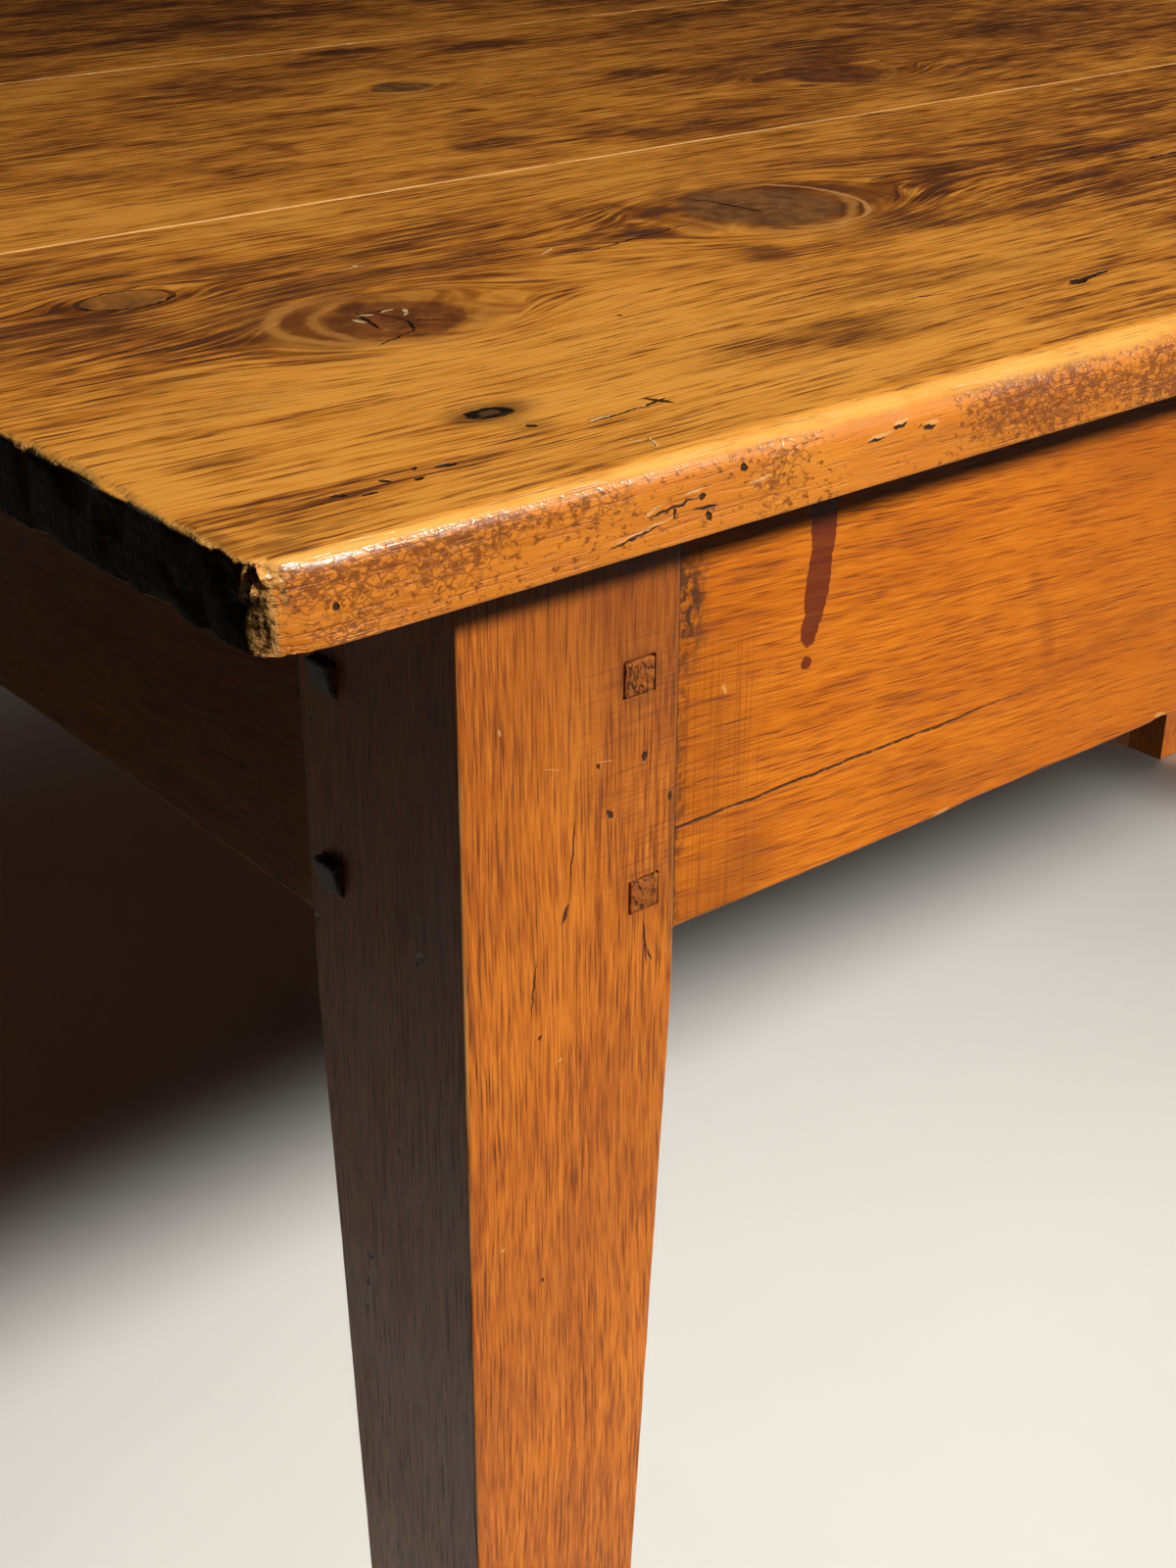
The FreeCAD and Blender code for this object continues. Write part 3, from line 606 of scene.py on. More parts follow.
def front_apron_marks(g, colour, rough, height, s):
    fine, patch, line, pore = s["fine"], s["patch"], s["line"], s["pore"]
    soft = g.wobble(3.0, 0.09, 4.0)
    face = g.step(g.ny, -0.6, -0.9)
    # cross-grain saw and plane marks beside the leg
    near = g.step(g.x + (patch - 0.5) * 40.0, -570.0, -600.0) * g.step(g.z, 716.0, 676.0) * face
    comb = g.noise(g.stretch((1.15, 0.1, 0.014)), 2.0, 0.6)
    colour = g.mix(g.step(comb, 0.49, 0.64) * near * 0.55, colour, (0.20, 0.048, 0.006))
    height = height + (comb - 0.5) * near * 0.15
    for c in ((-598.0, 622.0, 24.0, 16.0, 0, 0.45), (-585.0, 632.0, 10.0, 14.0, 0, 0.35), (-600.0, 668.0, 16.0, 40.0, 0, 0.28), (-527.0, 662.0, 13.0, 2.2, -8, 0.55),
              (-466.0, 664.0, 4.0, 15.0, 8, 0.35), (-473.0, 682.0, 3.0, 8.0, 20, 0.3), (-505.0, 628.0, 32.0, 5.0, -3, 0.35), (-470.0, 722.0, 60.0, 6.0, -2, 0.25),
              (-430.0, 656.0, 35.0, 3.0, 6, 0.4), (-420.0, 708.0, 45.0, 8.0, -4, 0.25), (-530.0, 712.0, 26.0, 5.0, -4, 0.22)):
        m = g.step(g.oval(soft, *c[:5], plane="xz"), 1.3, 0.2) * face
        colour = g.mix(m * c[5], colour, (0.225, 0.054, 0.007))
    # dirt in the joint with painted shade, heaviest near the top under the overhang
    crumb = g.noise(g.stretch((0.42, 0.42, 0.30), (5, 1, 2)), 3.0, 0.65)
    edge = g.step(g.x + (patch - 0.5) * 9.0, -609.0, -613.4) * face
    colour = g.mix(edge * g.step(crumb, 0.42, 0.60, 0.15, 0.70), colour, (0.070, 0.022, 0.006))
    blot = g.step(g.oval(soft, -609.0, 711.0, 6.0, 16.0, 0, "xz"), 1.4, 0.3) * face
    colour = g.mix(blot * g.step(crumb, 0.40, 0.60, 0.15, 0.92), colour, (0.048, 0.020, 0.010))
    # the colour deepens away from the corner: painted shade, darker where the light falls off
    colour = g.mix(g.step(g.x, -540.0, -380.0) * face * 0.42, colour, (0.325, 0.072, 0.0030))
    colour = g.mix(g.step(g.x, -612.9, -613.5) * face, colour, BLACK)
    # a long check in the wood, dark and narrow
    wavy = g.noise(g.stretch((0.05, 0.0, 0.0), (3, 0, 0)), 3.0, 0.6) * 3.0 + g.z
    check = g.step(g.off(wavy - 650.0), 0.62, 0.25) * face * g.step(g.x, -440.0, -520.0)
    check = check * g.step(crumb, 0.34, 0.50, 0.45, 1.0)
    colour = g.mix(check * 0.92, colour, (0.045, 0.014, 0.005))
    height = height - check * 0.5
    # an old run of dark red stain
    run = g.most(
        g.step(g.oval(fine, -563.3, 725.0, 4.8, 17.0, 2, "xz"), 1.03, 0.97), g.step(g.oval(fine, -564.3, 707.0, 4.5, 15.5, -5, "xz"), 1.03, 0.97),
        g.step(g.oval(fine, -566.6, 693.5, 3.3, 5.6, -5, "xz"), 1.05, 0.95), g.step(g.oval(fine, -567.2, 683.6, 1.8, 1.9, 0, "xz"), 1.1, 0.9)) * face
    colour = g.mix(run * g.step(line, 0.30, 0.65, 0.98, 0.86), colour, (0.120, 0.016, 0.005))
    rough = rough - run * 0.08
    # chips and a dent along the lower edge
    chips = g.marks(fine, "xz", [(-404.0, 619.6, 3.2, 1.3, -20), (-597.0, 684.5, 0.6, 1.8, 20), (-508.0, 618.5, 4.0, 0.8, 10)]) * face
    colour = g.mix(chips * 0.45, colour, (0.74, 0.42, 0.16))
    return colour, rough, height


def near_leg_marks(g, colour, rough, height, s):
    fine, patch, line, pore = s["fine"], s["patch"], s["line"], s["pore"]
    lit = g.step(g.ny, -0.6, -0.9)
    side = g.step(g.nx, -0.6, -0.9)
    soft = g.wobble(4.0, 0.06, 7.0)
    # browner above, as painted shade under the top, and faint slanting figure below
    shade = g.step(g.z, 640.0, 735.0) * g.step(g.x, -690.0, -640.0) * lit
    colour = g.mix(shade * 0.58, colour, (0.19, 0.043, 0.006))
    figure = g.f("SINE", (g.z * 0.030 - g.x * 0.052) + patch * 5.0)
    colour = g.mix(g.step(figure, 0.35, 1.0) * g.step(g.z, 640.0, 600.0) * 0.16, colour, (0.24, 0.062, 0.010))
    # ripple left by the plane beside the joint, with dirt in it
    zone = g.step(g.x + (patch - 0.5) * 60.0, -655.0, -620.0) * g.step(g.z, 722.0, 700.0) * g.step(g.z, 628.0, 642.0) * lit
    ripple = g.noise(g.stretch((0.05, 0.05, 1.05)), 2.0, 0.6, 0.5)
    colour = g.mix(g.step(ripple, 0.50, 0.64) * zone * 0.42, colour, (0.11, 0.028, 0.006))
    height = height + (ripple - 0.5) * zone * 0.18
    edge = g.step(g.x + (patch - 0.5) * 9.0, -618.0, -614.5) * g.step(g.z, 612.0, 620.0) * lit
    colour = g.mix(edge * 0.40, colour, (0.085, 0.027, 0.008))
    # dirt around the pegs
    for cx, cz, k in ((-627.6, 697.0, 0.50), (-625.0, 634.0, 0.22)):
        m = g.step(g.oval(fine, cx, cz, 8.2, 8.6, 0, "xz"), 1.15, 0.65) * lit
        colour = g.mix(m * k, colour, (0.14, 0.038, 0.009))
    pits = g.marks(fine, "xz", [(-636.9, 661.2, 0.8, 1.5, 30), (-624.4, 618.5, 0.32, 6.0, 5), (-622.6, 614.0, 0.32, 2.0, 20), (-616.6, 660.0, 0.5, 1.2, 0), (-651.5, 637.0, 0.5, 2.6, -20), (-660.0, 603.0, 0.5, 0.7, 0),
                                (-625.5, 674.0, 0.8, 1.1, 0), (-640.6, 676.0, 0.5, 0.8, 0), (-659.6, 523.0, 0.5, 0.8, 0), (-662.0, 618.0, 0.25, 8.0, -6), (-649.0, 655.0, 0.25, 7.0, -4)]) * lit
    colour = g.mix(pits * 0.9, colour, BLACK)
    height = height - pits * 0.6
    chips = g.marks(fine, "xz", [(-671.6, 694.5, 0.45, 1.0, 0), (-655.6, 679.8, 2.2, 0.14, -22), (-638.5, 677.0, 2.6, 0.14, -12), (-653.0, 593.5, 0.8, 0.4, 20), (-673.0, 540.0, 0.5, 0.5, 0)]) * lit
    colour = g.mix(chips * 0.45, colour, (0.80, 0.50, 0.22))
    holes = g.marks(fine, "yz", [(-317.4, 678.9, 1.0, 1.0, 0), (-314.6, 617.4, 1.1, 1.0, 0), (-332.8, 513.8, 1.4, 1.0, 0), (-329.9, 494.0, 0.9, 0.9, 0),
                                 (-331.0, 503.0, 0.5, 1.6, 20), (-363.2, 626.9, 1.2, 2.0, 30), (-350.0, 560.0, 0.6, 0.8, 0)]) * side
    colour = g.mix(holes * 0.95, colour, BLACK)
    height = height - holes * 0.8
    scr = g.marks(fine, "yz", [(-363.7, 685.0, 3.4, 0.22, -20), (-373.0, 691.2, 3.0, 0.22, 35), (-350.0, 604.0, 0.3, 12.0, 4)]) * side
    colour = g.mix(scr * 0.45, colour, (0.55, 0.36, 0.22))
    return colour, rough, height


def peg_wood(name):
    g = Mat(name, spec=0.22)
    grit = g.noise(g.stretch((0.9, 0.9, 0.9)), 4.0, 0.7)
    ring = g.f("SINE", (g.z * 0.75 + g.x * 0.35 + g.y * 0.35) * 2.2 + grit * 6.0)
    colour = g.ramp(grit * 0.8 + ring * 0.06 + 0.1, (0.25, (0.135, 0.034, 0.006)), (0.5, (0.30, 0.080, 0.010)), (0.8, (0.46, 0.145, 0.018)))
    # the ends that stand proud are dull grey-brown end grain: partly the dry end grain's own colour, partly painted
    # shade
    proud = g.step(g.off(g.x), 684.4, 685.2)
    dull = g.ramp(grit, (0.3, (0.060, 0.047, 0.038)), (0.7, (0.160, 0.126, 0.100)))
    colour = g.mix(proud, colour, dull)
    crack = g.step(g.off(g.noise(g.stretch((0.35, 0.35, 0.12)), 2.0, 0.6) - 0.5), 0.03, 0.008)
    colour = g.mix(crack * 0.8, colour, BLACK)
    return g.finish(colour, 0.55 + (grit - 0.5) * 0.3, grit * 0.5 + ring * 0.04 - crack * 0.4)


def raw_wood(name, along):
    g = Mat(name, spec=0.35)
    sc = {"x": (0.014, 0.5, 0.5), "y": (0.5, 0.014, 0.5)}[along]
    line = g.noise(g.stretch(sc), 4.0, 0.62)
    pore = g.noise(g.stretch(tuple(3.2 * k for k in sc)), 2.0, 0.6)
    patch = g.noise(g.stretch((0.02, 0.02, 0.02)), 4.0, 0.6)
    saw = g.noise(g.stretch({"x": (0.45, 0.03, 0.03), "y": (0.03, 0.45, 0.03)}[along]), 2.0, 0.55)
    colour = g.ramp(line * 0.7 + patch * 0.5 - 0.1, (0.2, RAW_DARK), (0.5, RAW), (0.85, (0.47, 0.32, 0.18)))
    dash = g.step(pore, 0.42, 0.30)
    colour = g.mix(dash * 0.5, colour, (0.11, 0.065, 0.034))
    colour = g.mix(g.step(patch, 0.52, 0.70) * 0.45, colour, (0.10, 0.075, 0.052))
    return g.finish(colour, 0.72 + (line - 0.5) * 0.2, line * 0.12 + saw * 0.28 - dash * 0.06)


def old_steel(name):
    g = Mat(name, spec=0.5)
    g.b.inputs["Metallic"].default_value = 0.85
    rust = g.noise(g.stretch((0.35, 0.35, 0.35)), 4.0, 0.65)
    grain = g.noise(g.stretch((2.2, 2.2, 2.2)), 2.0, 0.6)
    colour = g.ramp(rust * 0.8 + grain * 0.2, (0.35, (0.20, 0.19, 0.18)), (0.52, (0.13, 0.105, 0.09)), (0.72, (0.16, 0.060, 0.024)))
    return g.finish(colour, 0.42 + rust * 0.35, rust * 0.12 + grain * 0.05)


# ------------------------------------------------------------------ shapes
def board(y0, y1, seed, xs, ys, zs, nose_front, nose_back, corner_front, corner_back):
    v, q = lattice(xs, ys, zs)
    x, y, z = v.T.copy()
    low = np.stack([x, y * 0, z * 0], 1)
    r_seam = 1.15 + 0.45 * fbm(low, 26.0, 3, seed)
    # long upper arrises
    if nose_front:
        r = 5.2 + 6.0 * smooth(x, -720.0, -500.0) + 0.9 * fbm(low, 60.0, 2, seed + 1)
    else:
        r = r_seam
    a, b = round_edge(y - y0, TOP - z, r)
    y, z = y0 + a, TOP - b
    r = (7.6 + 1.2 * fbm(low, 70.0, 2, seed + 2)) if nose_back else (0.9 + 0.3 * fbm(low, 30.0, 3, seed + 3))
    a, b = round_edge(y1 - y, TOP - z, r)
    y, z = y1 - a, TOP - b
    # long lower arrises
    a, b = round_edge(y - y0, z - UNDER, 0.9)
    y, z = y0 + a, UNDER + b
    a, b = round_edge(y1 - y, z - UNDER, 0.9)
    y, z = y1 - a, UNDER + b
    # plan corners
    for s in (-1, 1):
        a, b = round_edge(HX - s * x, y - y0, corner_front)
        x, y = s * (HX - a), y0 + b
        a, b = round_edge(HX - s * x, y1 - y, corner_back)
        x, y = s * (HX - a), y1 - b
    # end arrises
    for s in (-1, 1):
        a, b = round_edge(HX - s * x, TOP - z, 2.2)
        x, z = s * (HX - a), TOP - b
        a, b = round_edge(HX - s * x, z - UNDER, 1.4)
        x, z = s * (HX - a), UNDER + b
    v = np.stack([x, y, z], 1)
    n = normals(v, q)
    end = smooth(np.abs(x), HX - 5.0, HX - 0.5)
    # gentle hollows from planing and use, kept below the original faces
    d = 0.22 * fbm(v, (190.0, 34.0, 40.0), 3, seed + 4) - 0.22
    d += 0.05 * fbm(v, (30.0, 4.0, 4.0), 2, seed + 5)
    # rough sawn ends with checks
    d -= end * (0.45 * np.abs(fbm(v, (8.0, 5.0, 5.0), 3, seed + 6)) + 0.25 * np.abs(fbm(v, 2.2, 2, seed + 7)))
    ck = np.abs(fbm(v, (60.0, 16.0, 90.0), 2, seed + 8))
    d -= end * 1.3 * smooth(ck, 0.05, 0.0)
    v = v + n * d[:, None]
    # ragged arris along the upper end edge
    x, y, z = v.T
    rag = end * smooth(z, TOP - 6.0, TOP - 0.5)
    bite = np.clip(fbm(np.stack([y * 0, y, y * 0], 1), 9.0, 3, seed + 9) + 0.1, 0.0, 1.0)
    v[:, 0] -= np.sign(x) * rag * bite * 1.5
    v[:, 2] -= rag * bite * 0.7
    # chips along the lower end edge
    rag = end * smooth(z, UNDER + 5.0, UNDER + 0.5)
    bite = np.clip(fbm(np.stack([y * 0, y, y * 0], 1), 12.0, 3, seed + 10) - 0.1, 0.0, 1.0)
    v[:, 0] -= np.sign(x) * rag * bite * 3.0
    v[:, 2] += rag * bite * 1.2
    return v, q


def chew_corner(v, q, cx, cy, seed):
    """Knocks and pits a corner of the top that has had a hard life."""
    n = normals(v, q)
    w = np.exp(-((v[:, 0] - cx) / 11.0) ** 2 - ((v[:, 1] - cy) / 10.0) ** 2)
    w *= 1.0 - 0.75 * smooth(v[:, 2], TOP - 3.0, TOP)
    d = 1.5 * np.abs(fbm(v, 5.2, 3, seed)) + 1.0 * np.abs(fbm(v, 2.4, 2, seed + 1)) + 0.5
    return v - n * (w * d)[:, None]


def leg(sx, sy, seed):
    gap = 0.16
    hu, hv, hz = [], [], []
    for (u, drop) in SIDE_PEGS:
        c = UNDER - drop
        for e in (PEG / 2 + gap, PEG / 2 + gap + 0.22):
            hu += [u - e, u + e]
            hz += [c - e, c + e]
    for (w, drop) in END_PEGS:
        c = UNDER - drop
        for e in (PEG / 2 + gap, PEG / 2 + gap + 0.22):
            hv += [w - e, w + e]
            hz += [c - e, c + e]
    us = samples((0, 3, 0.5), (3, 67, 4.6), (67, 70, 0.5), extra=hu)
    vs = samples((0, 3, 0.5), (3, 67, 4.6), (67, 70, 0.5), extra=hv)
    zs = samples((0, 4, 0.7), (4, 600, 6.0), (600, UNDER - 2, 3.6), (UNDER - 2, UNDER, 0.6), extra=hz)
    v, q = lattice(us, vs, zs)
    u, w, z = v.T.copy()
    on_side, on_end = w < 1e-6, u < 1e-6
    # peg holes
    for (c, drop) in SIDE_PEGS:
        hit = on_side & (np.abs(u - c) < PEG / 2 + gap + 0.05) & (np.abs(z - UNDER + drop) < PEG / 2 + gap + 0.05)
        w[hit] += 3.0
    for (c, drop) in END_PEGS:
        hit = on_end & (np.abs(w - c) < PEG / 2 + gap + 0.05) & (np.abs(z - UNDER + drop) < PEG / 2 + gap + 0.05)
        u[hit] += 3.0
    low = np.stack([z * 0, z * 0, z], 1)
    # worn arrises, the outer one most
    for k, (fa, fb, base) in enumerate(((0, 0, 1.35), (0, 1, 1.1), (1, 0, 1.1), (1, 1, 1.2))):
        r = base + 0.55 * fbm(low, 34.0, 3, seed + 11 * k) + 0.5 * np.clip(fbm(low, 9.0, 2, seed + 5 + 11 * k) - 0.35, 0, 1)
        a = LEG - u if fa else u
        b = LEG - w if fb else w
        a, b = round_edge(a, b, np.clip(r, 0.5, 2.6))
        u = LEG - a if fa else a
        w = LEG - b if fb else b
    for f in (0, 1):
        a = LEG - u if f else u
        a, b = round_edge(a, z, 1.8)
        u = LEG - a if f else a
        z = b
        a = LEG - w if f else w
        a, b = round_edge(a, z, 1.8)
        w = LEG - a if f else a
        z = b
    size = np.where(z < TAPER, FOOT + (LEG - FOOT) * z / TAPER, LEG)
    u, w = u * size / LEG, w * size / LEG
    v = np.stack([sx * (OX - u), sy * (OY - w), z], 1)
    if sx * sy < 0:
        q = q[:, ::-1]
    n = normals(v, q)
    d = 0.16 * fbm(v, (26.0, 26.0, 120.0), 3, seed + 60) - 0.16
    d += 0.03 * fbm(v, (3.0, 3.0, 24.0), 2, seed + 61)
    # the shoulders and the top stay true where other pieces meet them
    d *= 1.0 - smooth(z, UNDER - 1.5, UNDER)
    return v + n * d[:, None], q


def peg(place, proud, seed):
    """place(across, depth, up) gives the point; depth is measured inward from the leg's face."""
    h = PEG / 2
    cs = samples((-h, -h + 1.2, 0.4), (-h + 1.2, h - 1.2, 0.9), (h - 1.2, h, 0.4))
    ds = samples((-3.0, 2.0, 0.5), (2.0, 42.0, 10.0))
    v, q = lattice(cs, ds, cs)
    a, d, b = v.T.copy()
    for fa in (-1, 1):
        for fb in (-1, 1):
            ea, eb = round_edge(h - fa * a, h - fb * b, 0.7)
            a, b = fa * (h - ea), fb * (h - eb)
        ea, ed = round_edge(h - fa * a, d + 3.0, 0.9)
        a, d = fa * (h - ea), ed - 3.0
        eb, ed = round_edge(h - fa * b, d + 3.0, 0.9)
        b, d = fa * (h - eb), ed - 3.0
    tip = smooth(d, 34.0, 42.0)
    a, b = a * (1 - 0.5 * tip), b * (1 - 0.5 * tip)
    top = proud[1] + (proud[0] - proud[1]) * (b + h) / PEG
    face = smooth(d, 2.0, -3.0)
    loc = np.stack([a, b, d * 0 + seed * 13.7], 1)
    rough = 0.22 * fbm(loc, 3.2, 3, seed) * (1.0 if proud[0] < 1 else 0.6)
    d = np.where(d < 2.0, 2.0 + (d - 2.0) * (2.0 + top + rough * face) / 5.0, d)
    p = np.stack(place(a, d, b), 1)
    # keep the faces outward whatever way the peg points
    m = np.array([place(np.array([1.0]), np.array([0.0]), np.array([0.0])), place(np.array([0.0]), np.array([1.0]), np.array([0.0])),
                  place(np.array([0.0]), np.array([0.0]), np.array([1.0]))])[:, :, 0]
    o = np.array(place(np.array([0.0]), np.array([0.0]), np.array([0.0])))[:, 0]
    if np.linalg.det(m - o) < 0:
        q = q[:, ::-1]
    return p, q


def pegs(sx, sy, seed):
    made = []
    for k, (inset, drop) in enumerate(SIDE_PEGS):
        def put(a, d, b, inset=inset, drop=drop):
            return sx * (OX - inset) + a, sy * (OY - d), UNDER - drop + b
        made.append(peg(put, LIT_PROUD, seed + k))
    for k, (inset, drop) in enumerate(END_PEGS):
        def put(a, d, b, inset=inset, drop=drop):
            return sx * (OX - d), sy * (OY - inset) + a, UNDER - drop + b
        made.append(peg(put, DARK_PROUD, seed + 5 + k))
    return join(made)


def apron(half, seed, dense, check=False):
    """Built along its own length: l from -half to half, d from 0 at the outer face to 24, z."""
    rows = [648.4 + k for k in (-0.75, -0.3, 0.0, 0.3, 0.75)] if check else []
    ls = samples(*dense)
    ds = samples((0, 2, 0.5), (2, 22, 4.0), (22, 24, 0.5))
    zs = samples((APRON_LOW, APRON_LOW + 3, 0.6), (APRON_LOW + 3, UNDER - 2, 4.4), (UNDER - 2, UNDER, 1.0), extra=rows)
    v, q = lattice(ls, ds, zs)
    l, d, z = v.T.copy()
    low = np.stack([l, l * 0, l * 0], 1)
    for k, back in enumerate((0, 1)):
        a = 24.0 - d if back else d
        r = 1.2 + 0.6 * fbm(low, 30.0, 3, seed + k) + 0.7 * np.clip(fbm(low, 7.0, 2, seed + 4 + k) - 0.3, 0, 1)
        a, b = round_edge(a, z - APRON_LOW, np.clip(r, 0.5, 2.6))
        d = 24.0 - a if back else a
        z = APRON_LOW + b
    # a slightly uneven lower edge
    foot = 1.0 - smooth(z, APRON_LOW, APRON_LOW + 30.0)
    z = z + foot * (0.35 + 0.35 * fbm(low, 140.0, 3, seed + 9))
    if check:
        z = z + foot * 0.9 * smooth(l, -506.0, -493.0)
        z = z + (1 - smooth(z, APRON_LOW, APRON_LOW + 4.0)) * 1.4 * np.exp(-((l + 404.0) / 3.0) ** 2)
    wave = 0.14 * fbm(np.stack([l, d, z], 1), (150.0, 20.0, 40.0), 3, seed + 12) - 0.14
    ends = smooth(np.abs(l), half, half - 3.0)
    outer = smooth(d, 6.0, 0.0) - smooth(d, 18.0, 24.0)
    d = d - outer * wave * ends
    return l, d, z, q


def bearer(x0, seed):
    ys = samples((-356.5, 356.5, 9.0))
    us = samples((-22.5, -19.5, 0.6), (-19.5, 19.5, 5.0), (19.5, 22.5, 0.6))
    zs = samples((706.0, 709.0, 0.6), (709.0, 738.0, 4.0))
    v, q = lattice(us, ys, zs)
    u, y, z = v.T.copy()
    for s in (-1, 1):
        a, b = round_edge(22.5 - s * u, z - 706.0, 2.6)
        u, z = s * (22.5 - a), 706.0 + b
    v = np.stack([x0 + u, y, z], 1)
    n = normals(v, q)
    d = 0.25 * fbm(v, (14.0, 90.0, 14.0), 3, seed) - 0.25
    d *= 1.0 - smooth(z, 735.0, 738.0)
    return v + n * d[:, None], q


# ------------------------------------------------------------------ make the top
FRONT_KNOTS = [(-613.5, -261.0, 23.0, 22.0, "red"), (-437.7, -221.5, 29.0, 31.0, "grey"), (-663.5, -196.3, 14.6, 9.6, "open"),
               (-646.0, -345.4, 7.0, 4.2, "black"), (182.0, -300.0, 22.0, 20.0, "red"), (520.0, -205.0, 15.0, 11.0, "open")]
FRONT_TONES = [(-650, -345, 190, 70, 0, 0.24), (-230, -270, 200, 125, 0, -0.17), (-706, -373, 26, 12, 0, -0.12), (-690, -205, 80, 45, 0, -0.03), (-560, -205, 60, 30, 0, -0.06), (-690, -160, 50, 28, 0, -0.10), (-685, -240, 35, 22, 0, -0.16), (-660, -262, 16, 28, 0, -0.14), (-540, -175, 35, 25, 0, -0.10),
               (-480, -215, 22, 38, 0, -0.16), (-505, -228, 38, 9, 5, -0.14), (-482, -268, 14, 12, 0, -0.12), (-540, -350, 42, 17, -8, -0.22),
               (-711, -338, 22, 14, 0, -0.14), (-392, -144, 30, 14, 0, -0.10), (-300, -222, 50, 16, 0, -0.12), (-230, -170, 90, 30, 0, -0.08),
               (-590, -141, 75, 9, 0, 0.14), (-675, -302, 42, 22, 0, 0.12), (-592, -312, 50, 22, 0, 0.08), (-390, -300, 70, 35, 0, 0.05),
               (-390, -195, 14, 8, 0, 0.12), (-542, -256, 48, 14, 0, 0.08), (-500, -393, 250, 12, 0, 0.08)]
FRONT_STAINS = [(-449.5, -184.5, 11.0, 6.0, 22, 0.9), (-474.0, -196.0, 4.0, 14.0, 20, 0.6), (-473.0, -232.0, 22.0, 7.0, 8, 0.7), (-480.0, -266.0, 9.0, 7.0, -20, 0.75),
                (-520.0, -228.0, 26.0, 3.0, 6, 0.6), (-684.0, -246.0, 20.0, 4.0, -4, 0.7), (-624.0, -186.5, 20.0, 3.0, 8, 0.65), (-660.0, -170.0, 26.0, 3.0, 4, 0.5),
                (-590.0, -218.5, 22.0, 3.5, 6, 0.5), (-632.0, -245.0, 9.0, 12.0, -38, 0.6), (-646.0, -345.0, 17.0, 5.0, 0, 0.55), (-645.0, -358.0, 9.0, 5.0, -40, 0.5),
                (-530.0, -348.0, 55.0, 16.0, -6, 0.55), (-462.0, -322.0, 62.0, 14.0, -4, 0.42), (-690.0, -300.0, 30.0, 9.0, 0, 0.28), (-600.0, -216.0, 60.0, 9.0, 4, 0.42),
                (-704.0, -216.0, 40.0, 14.0, 0, 0.50), (-575.0, -190.0, 50.0, 9.0, 0, 0.35), (-660.0, -228.0, 40.0, 7.0, 0, 0.42), (-380.0, -272.0, 70.0, 12.0, -2, 0.38),
                (-692.0, -276.0, 25.0, 9.0, 0, 0.33), (-330.0, -330.0, 80.0, 14.0, -3, 0.35), (-735.0, -393.0, 7.0, 8.0, 20, 0.75), (-727.0, -383.0, 7.0, 4.0, -30, 0.7), (-742.0, -380.0, 4.0, 10.0, 0, 0.6), (-718.0, -388.0, 7.0, 3.0, 20, 0.5),
                (-718.0, -336.0, 14.0, 4.0, -6, 0.4), (-60.0, -190.0, 80.0, 12.0, 0, 0.4), (330.0, -330.0, 70.0, 12.0, 0, 0.4)]
FRONT_MARKS = [stroke((-632.0, -366.5), (-612.0, -364.6), 0.45), stroke((-609.0, -359.5), (-605.4, -366.5), 0.9), stroke((-612.0, -364.6), (-604.8, -362.6), 0.6),
               stroke((-438.0, -352.6), (-415.0, -348.6), 1.0), (-433.5, -351.8, 4.0, 2.0, 10), stroke((-446.5, -203.0), (-443.0, -227.0), 0.6),
               stroke((-445.5, -205.0), (-450.0, -197.5), 0.35), stroke((-490.8, -333.8), (-472.5, -336.9), 0.35), stroke((-276.5, -251.7), (-248.0, -250.3), 0.8),
               stroke((-379.5, -214.5), (-364.0, -213.0), 0.7), stroke((-709.5, -371.5), (-705.9, -373.0), 0.9), stroke((-703.4, -375.5), (-699.7, -375.5), 0.7),
               stroke((-695.5, -369.4), (-693.3, -371.7), 0.6), stroke((-688.6, -373.9), (-685.8, -374.0), 0.7), stroke((-679.8, -369.6), (-674.6, -370.6), 0.8),
               stroke((-644.9, -358.5), (-643.1, -361.0), 0.6), (-684.0, -367.5, 0.8, 0.6, 0), (-563.5, -296.5, 0.7, 0.7, 0), stroke((-527.0, -234.0), (-470.0, -224.5), 0.55),
               stroke((-633.0, -280.0), (-617.0, -273.5), 0.35), stroke((-617.0, -273.5), (-613.0, -264.0), 0.55), stroke((-613.0, -264.0), (-604.5, -270.5), 0.4),
               stroke((-613.0, -264.0), (-615.5, -253.0), 0.4), stroke((-624.0, -266.0), (-620.0, -249.5), 0.55), stroke((-620.0, -252.0), (-608.0, -250.5), 0.35)]
FRONT_CHIPS = [(-624.0, -256.5, 0.9, 2.4, 12), (-619.0, -252.5, 2.4, 0.8, -25), (-611.5, -252.0, 2.6, 0.7, 10), (-607.6, -255.5, 0.8, 1.8, -20), (-609.5, -258.5, 1.6, 0.6, 30),
               (-627.0, -365.2, 4.0, 0.5, 5), (-629.0, -387.0, 0.5, 3.2, -25), (-631.5, -383.5, 0.4, 2.0, 20), (-533.0, -225.5, 4.2, 0.6, 30), (-590.0, -204.0, 1.3, 0.7, 0), (-178.0, -140.0, 2.0, 1.8, 0)]
MIDDLE_KNOTS = [(-401.0, 40.0, 15.0, 11.0, "grey"), (-230.0, -48.0, 26.0, 24.0, "red"), (300.0, 60.0, 24.0, 22.0, "red"), (560.0, -60.0, 12.0, 9.0, "open")]
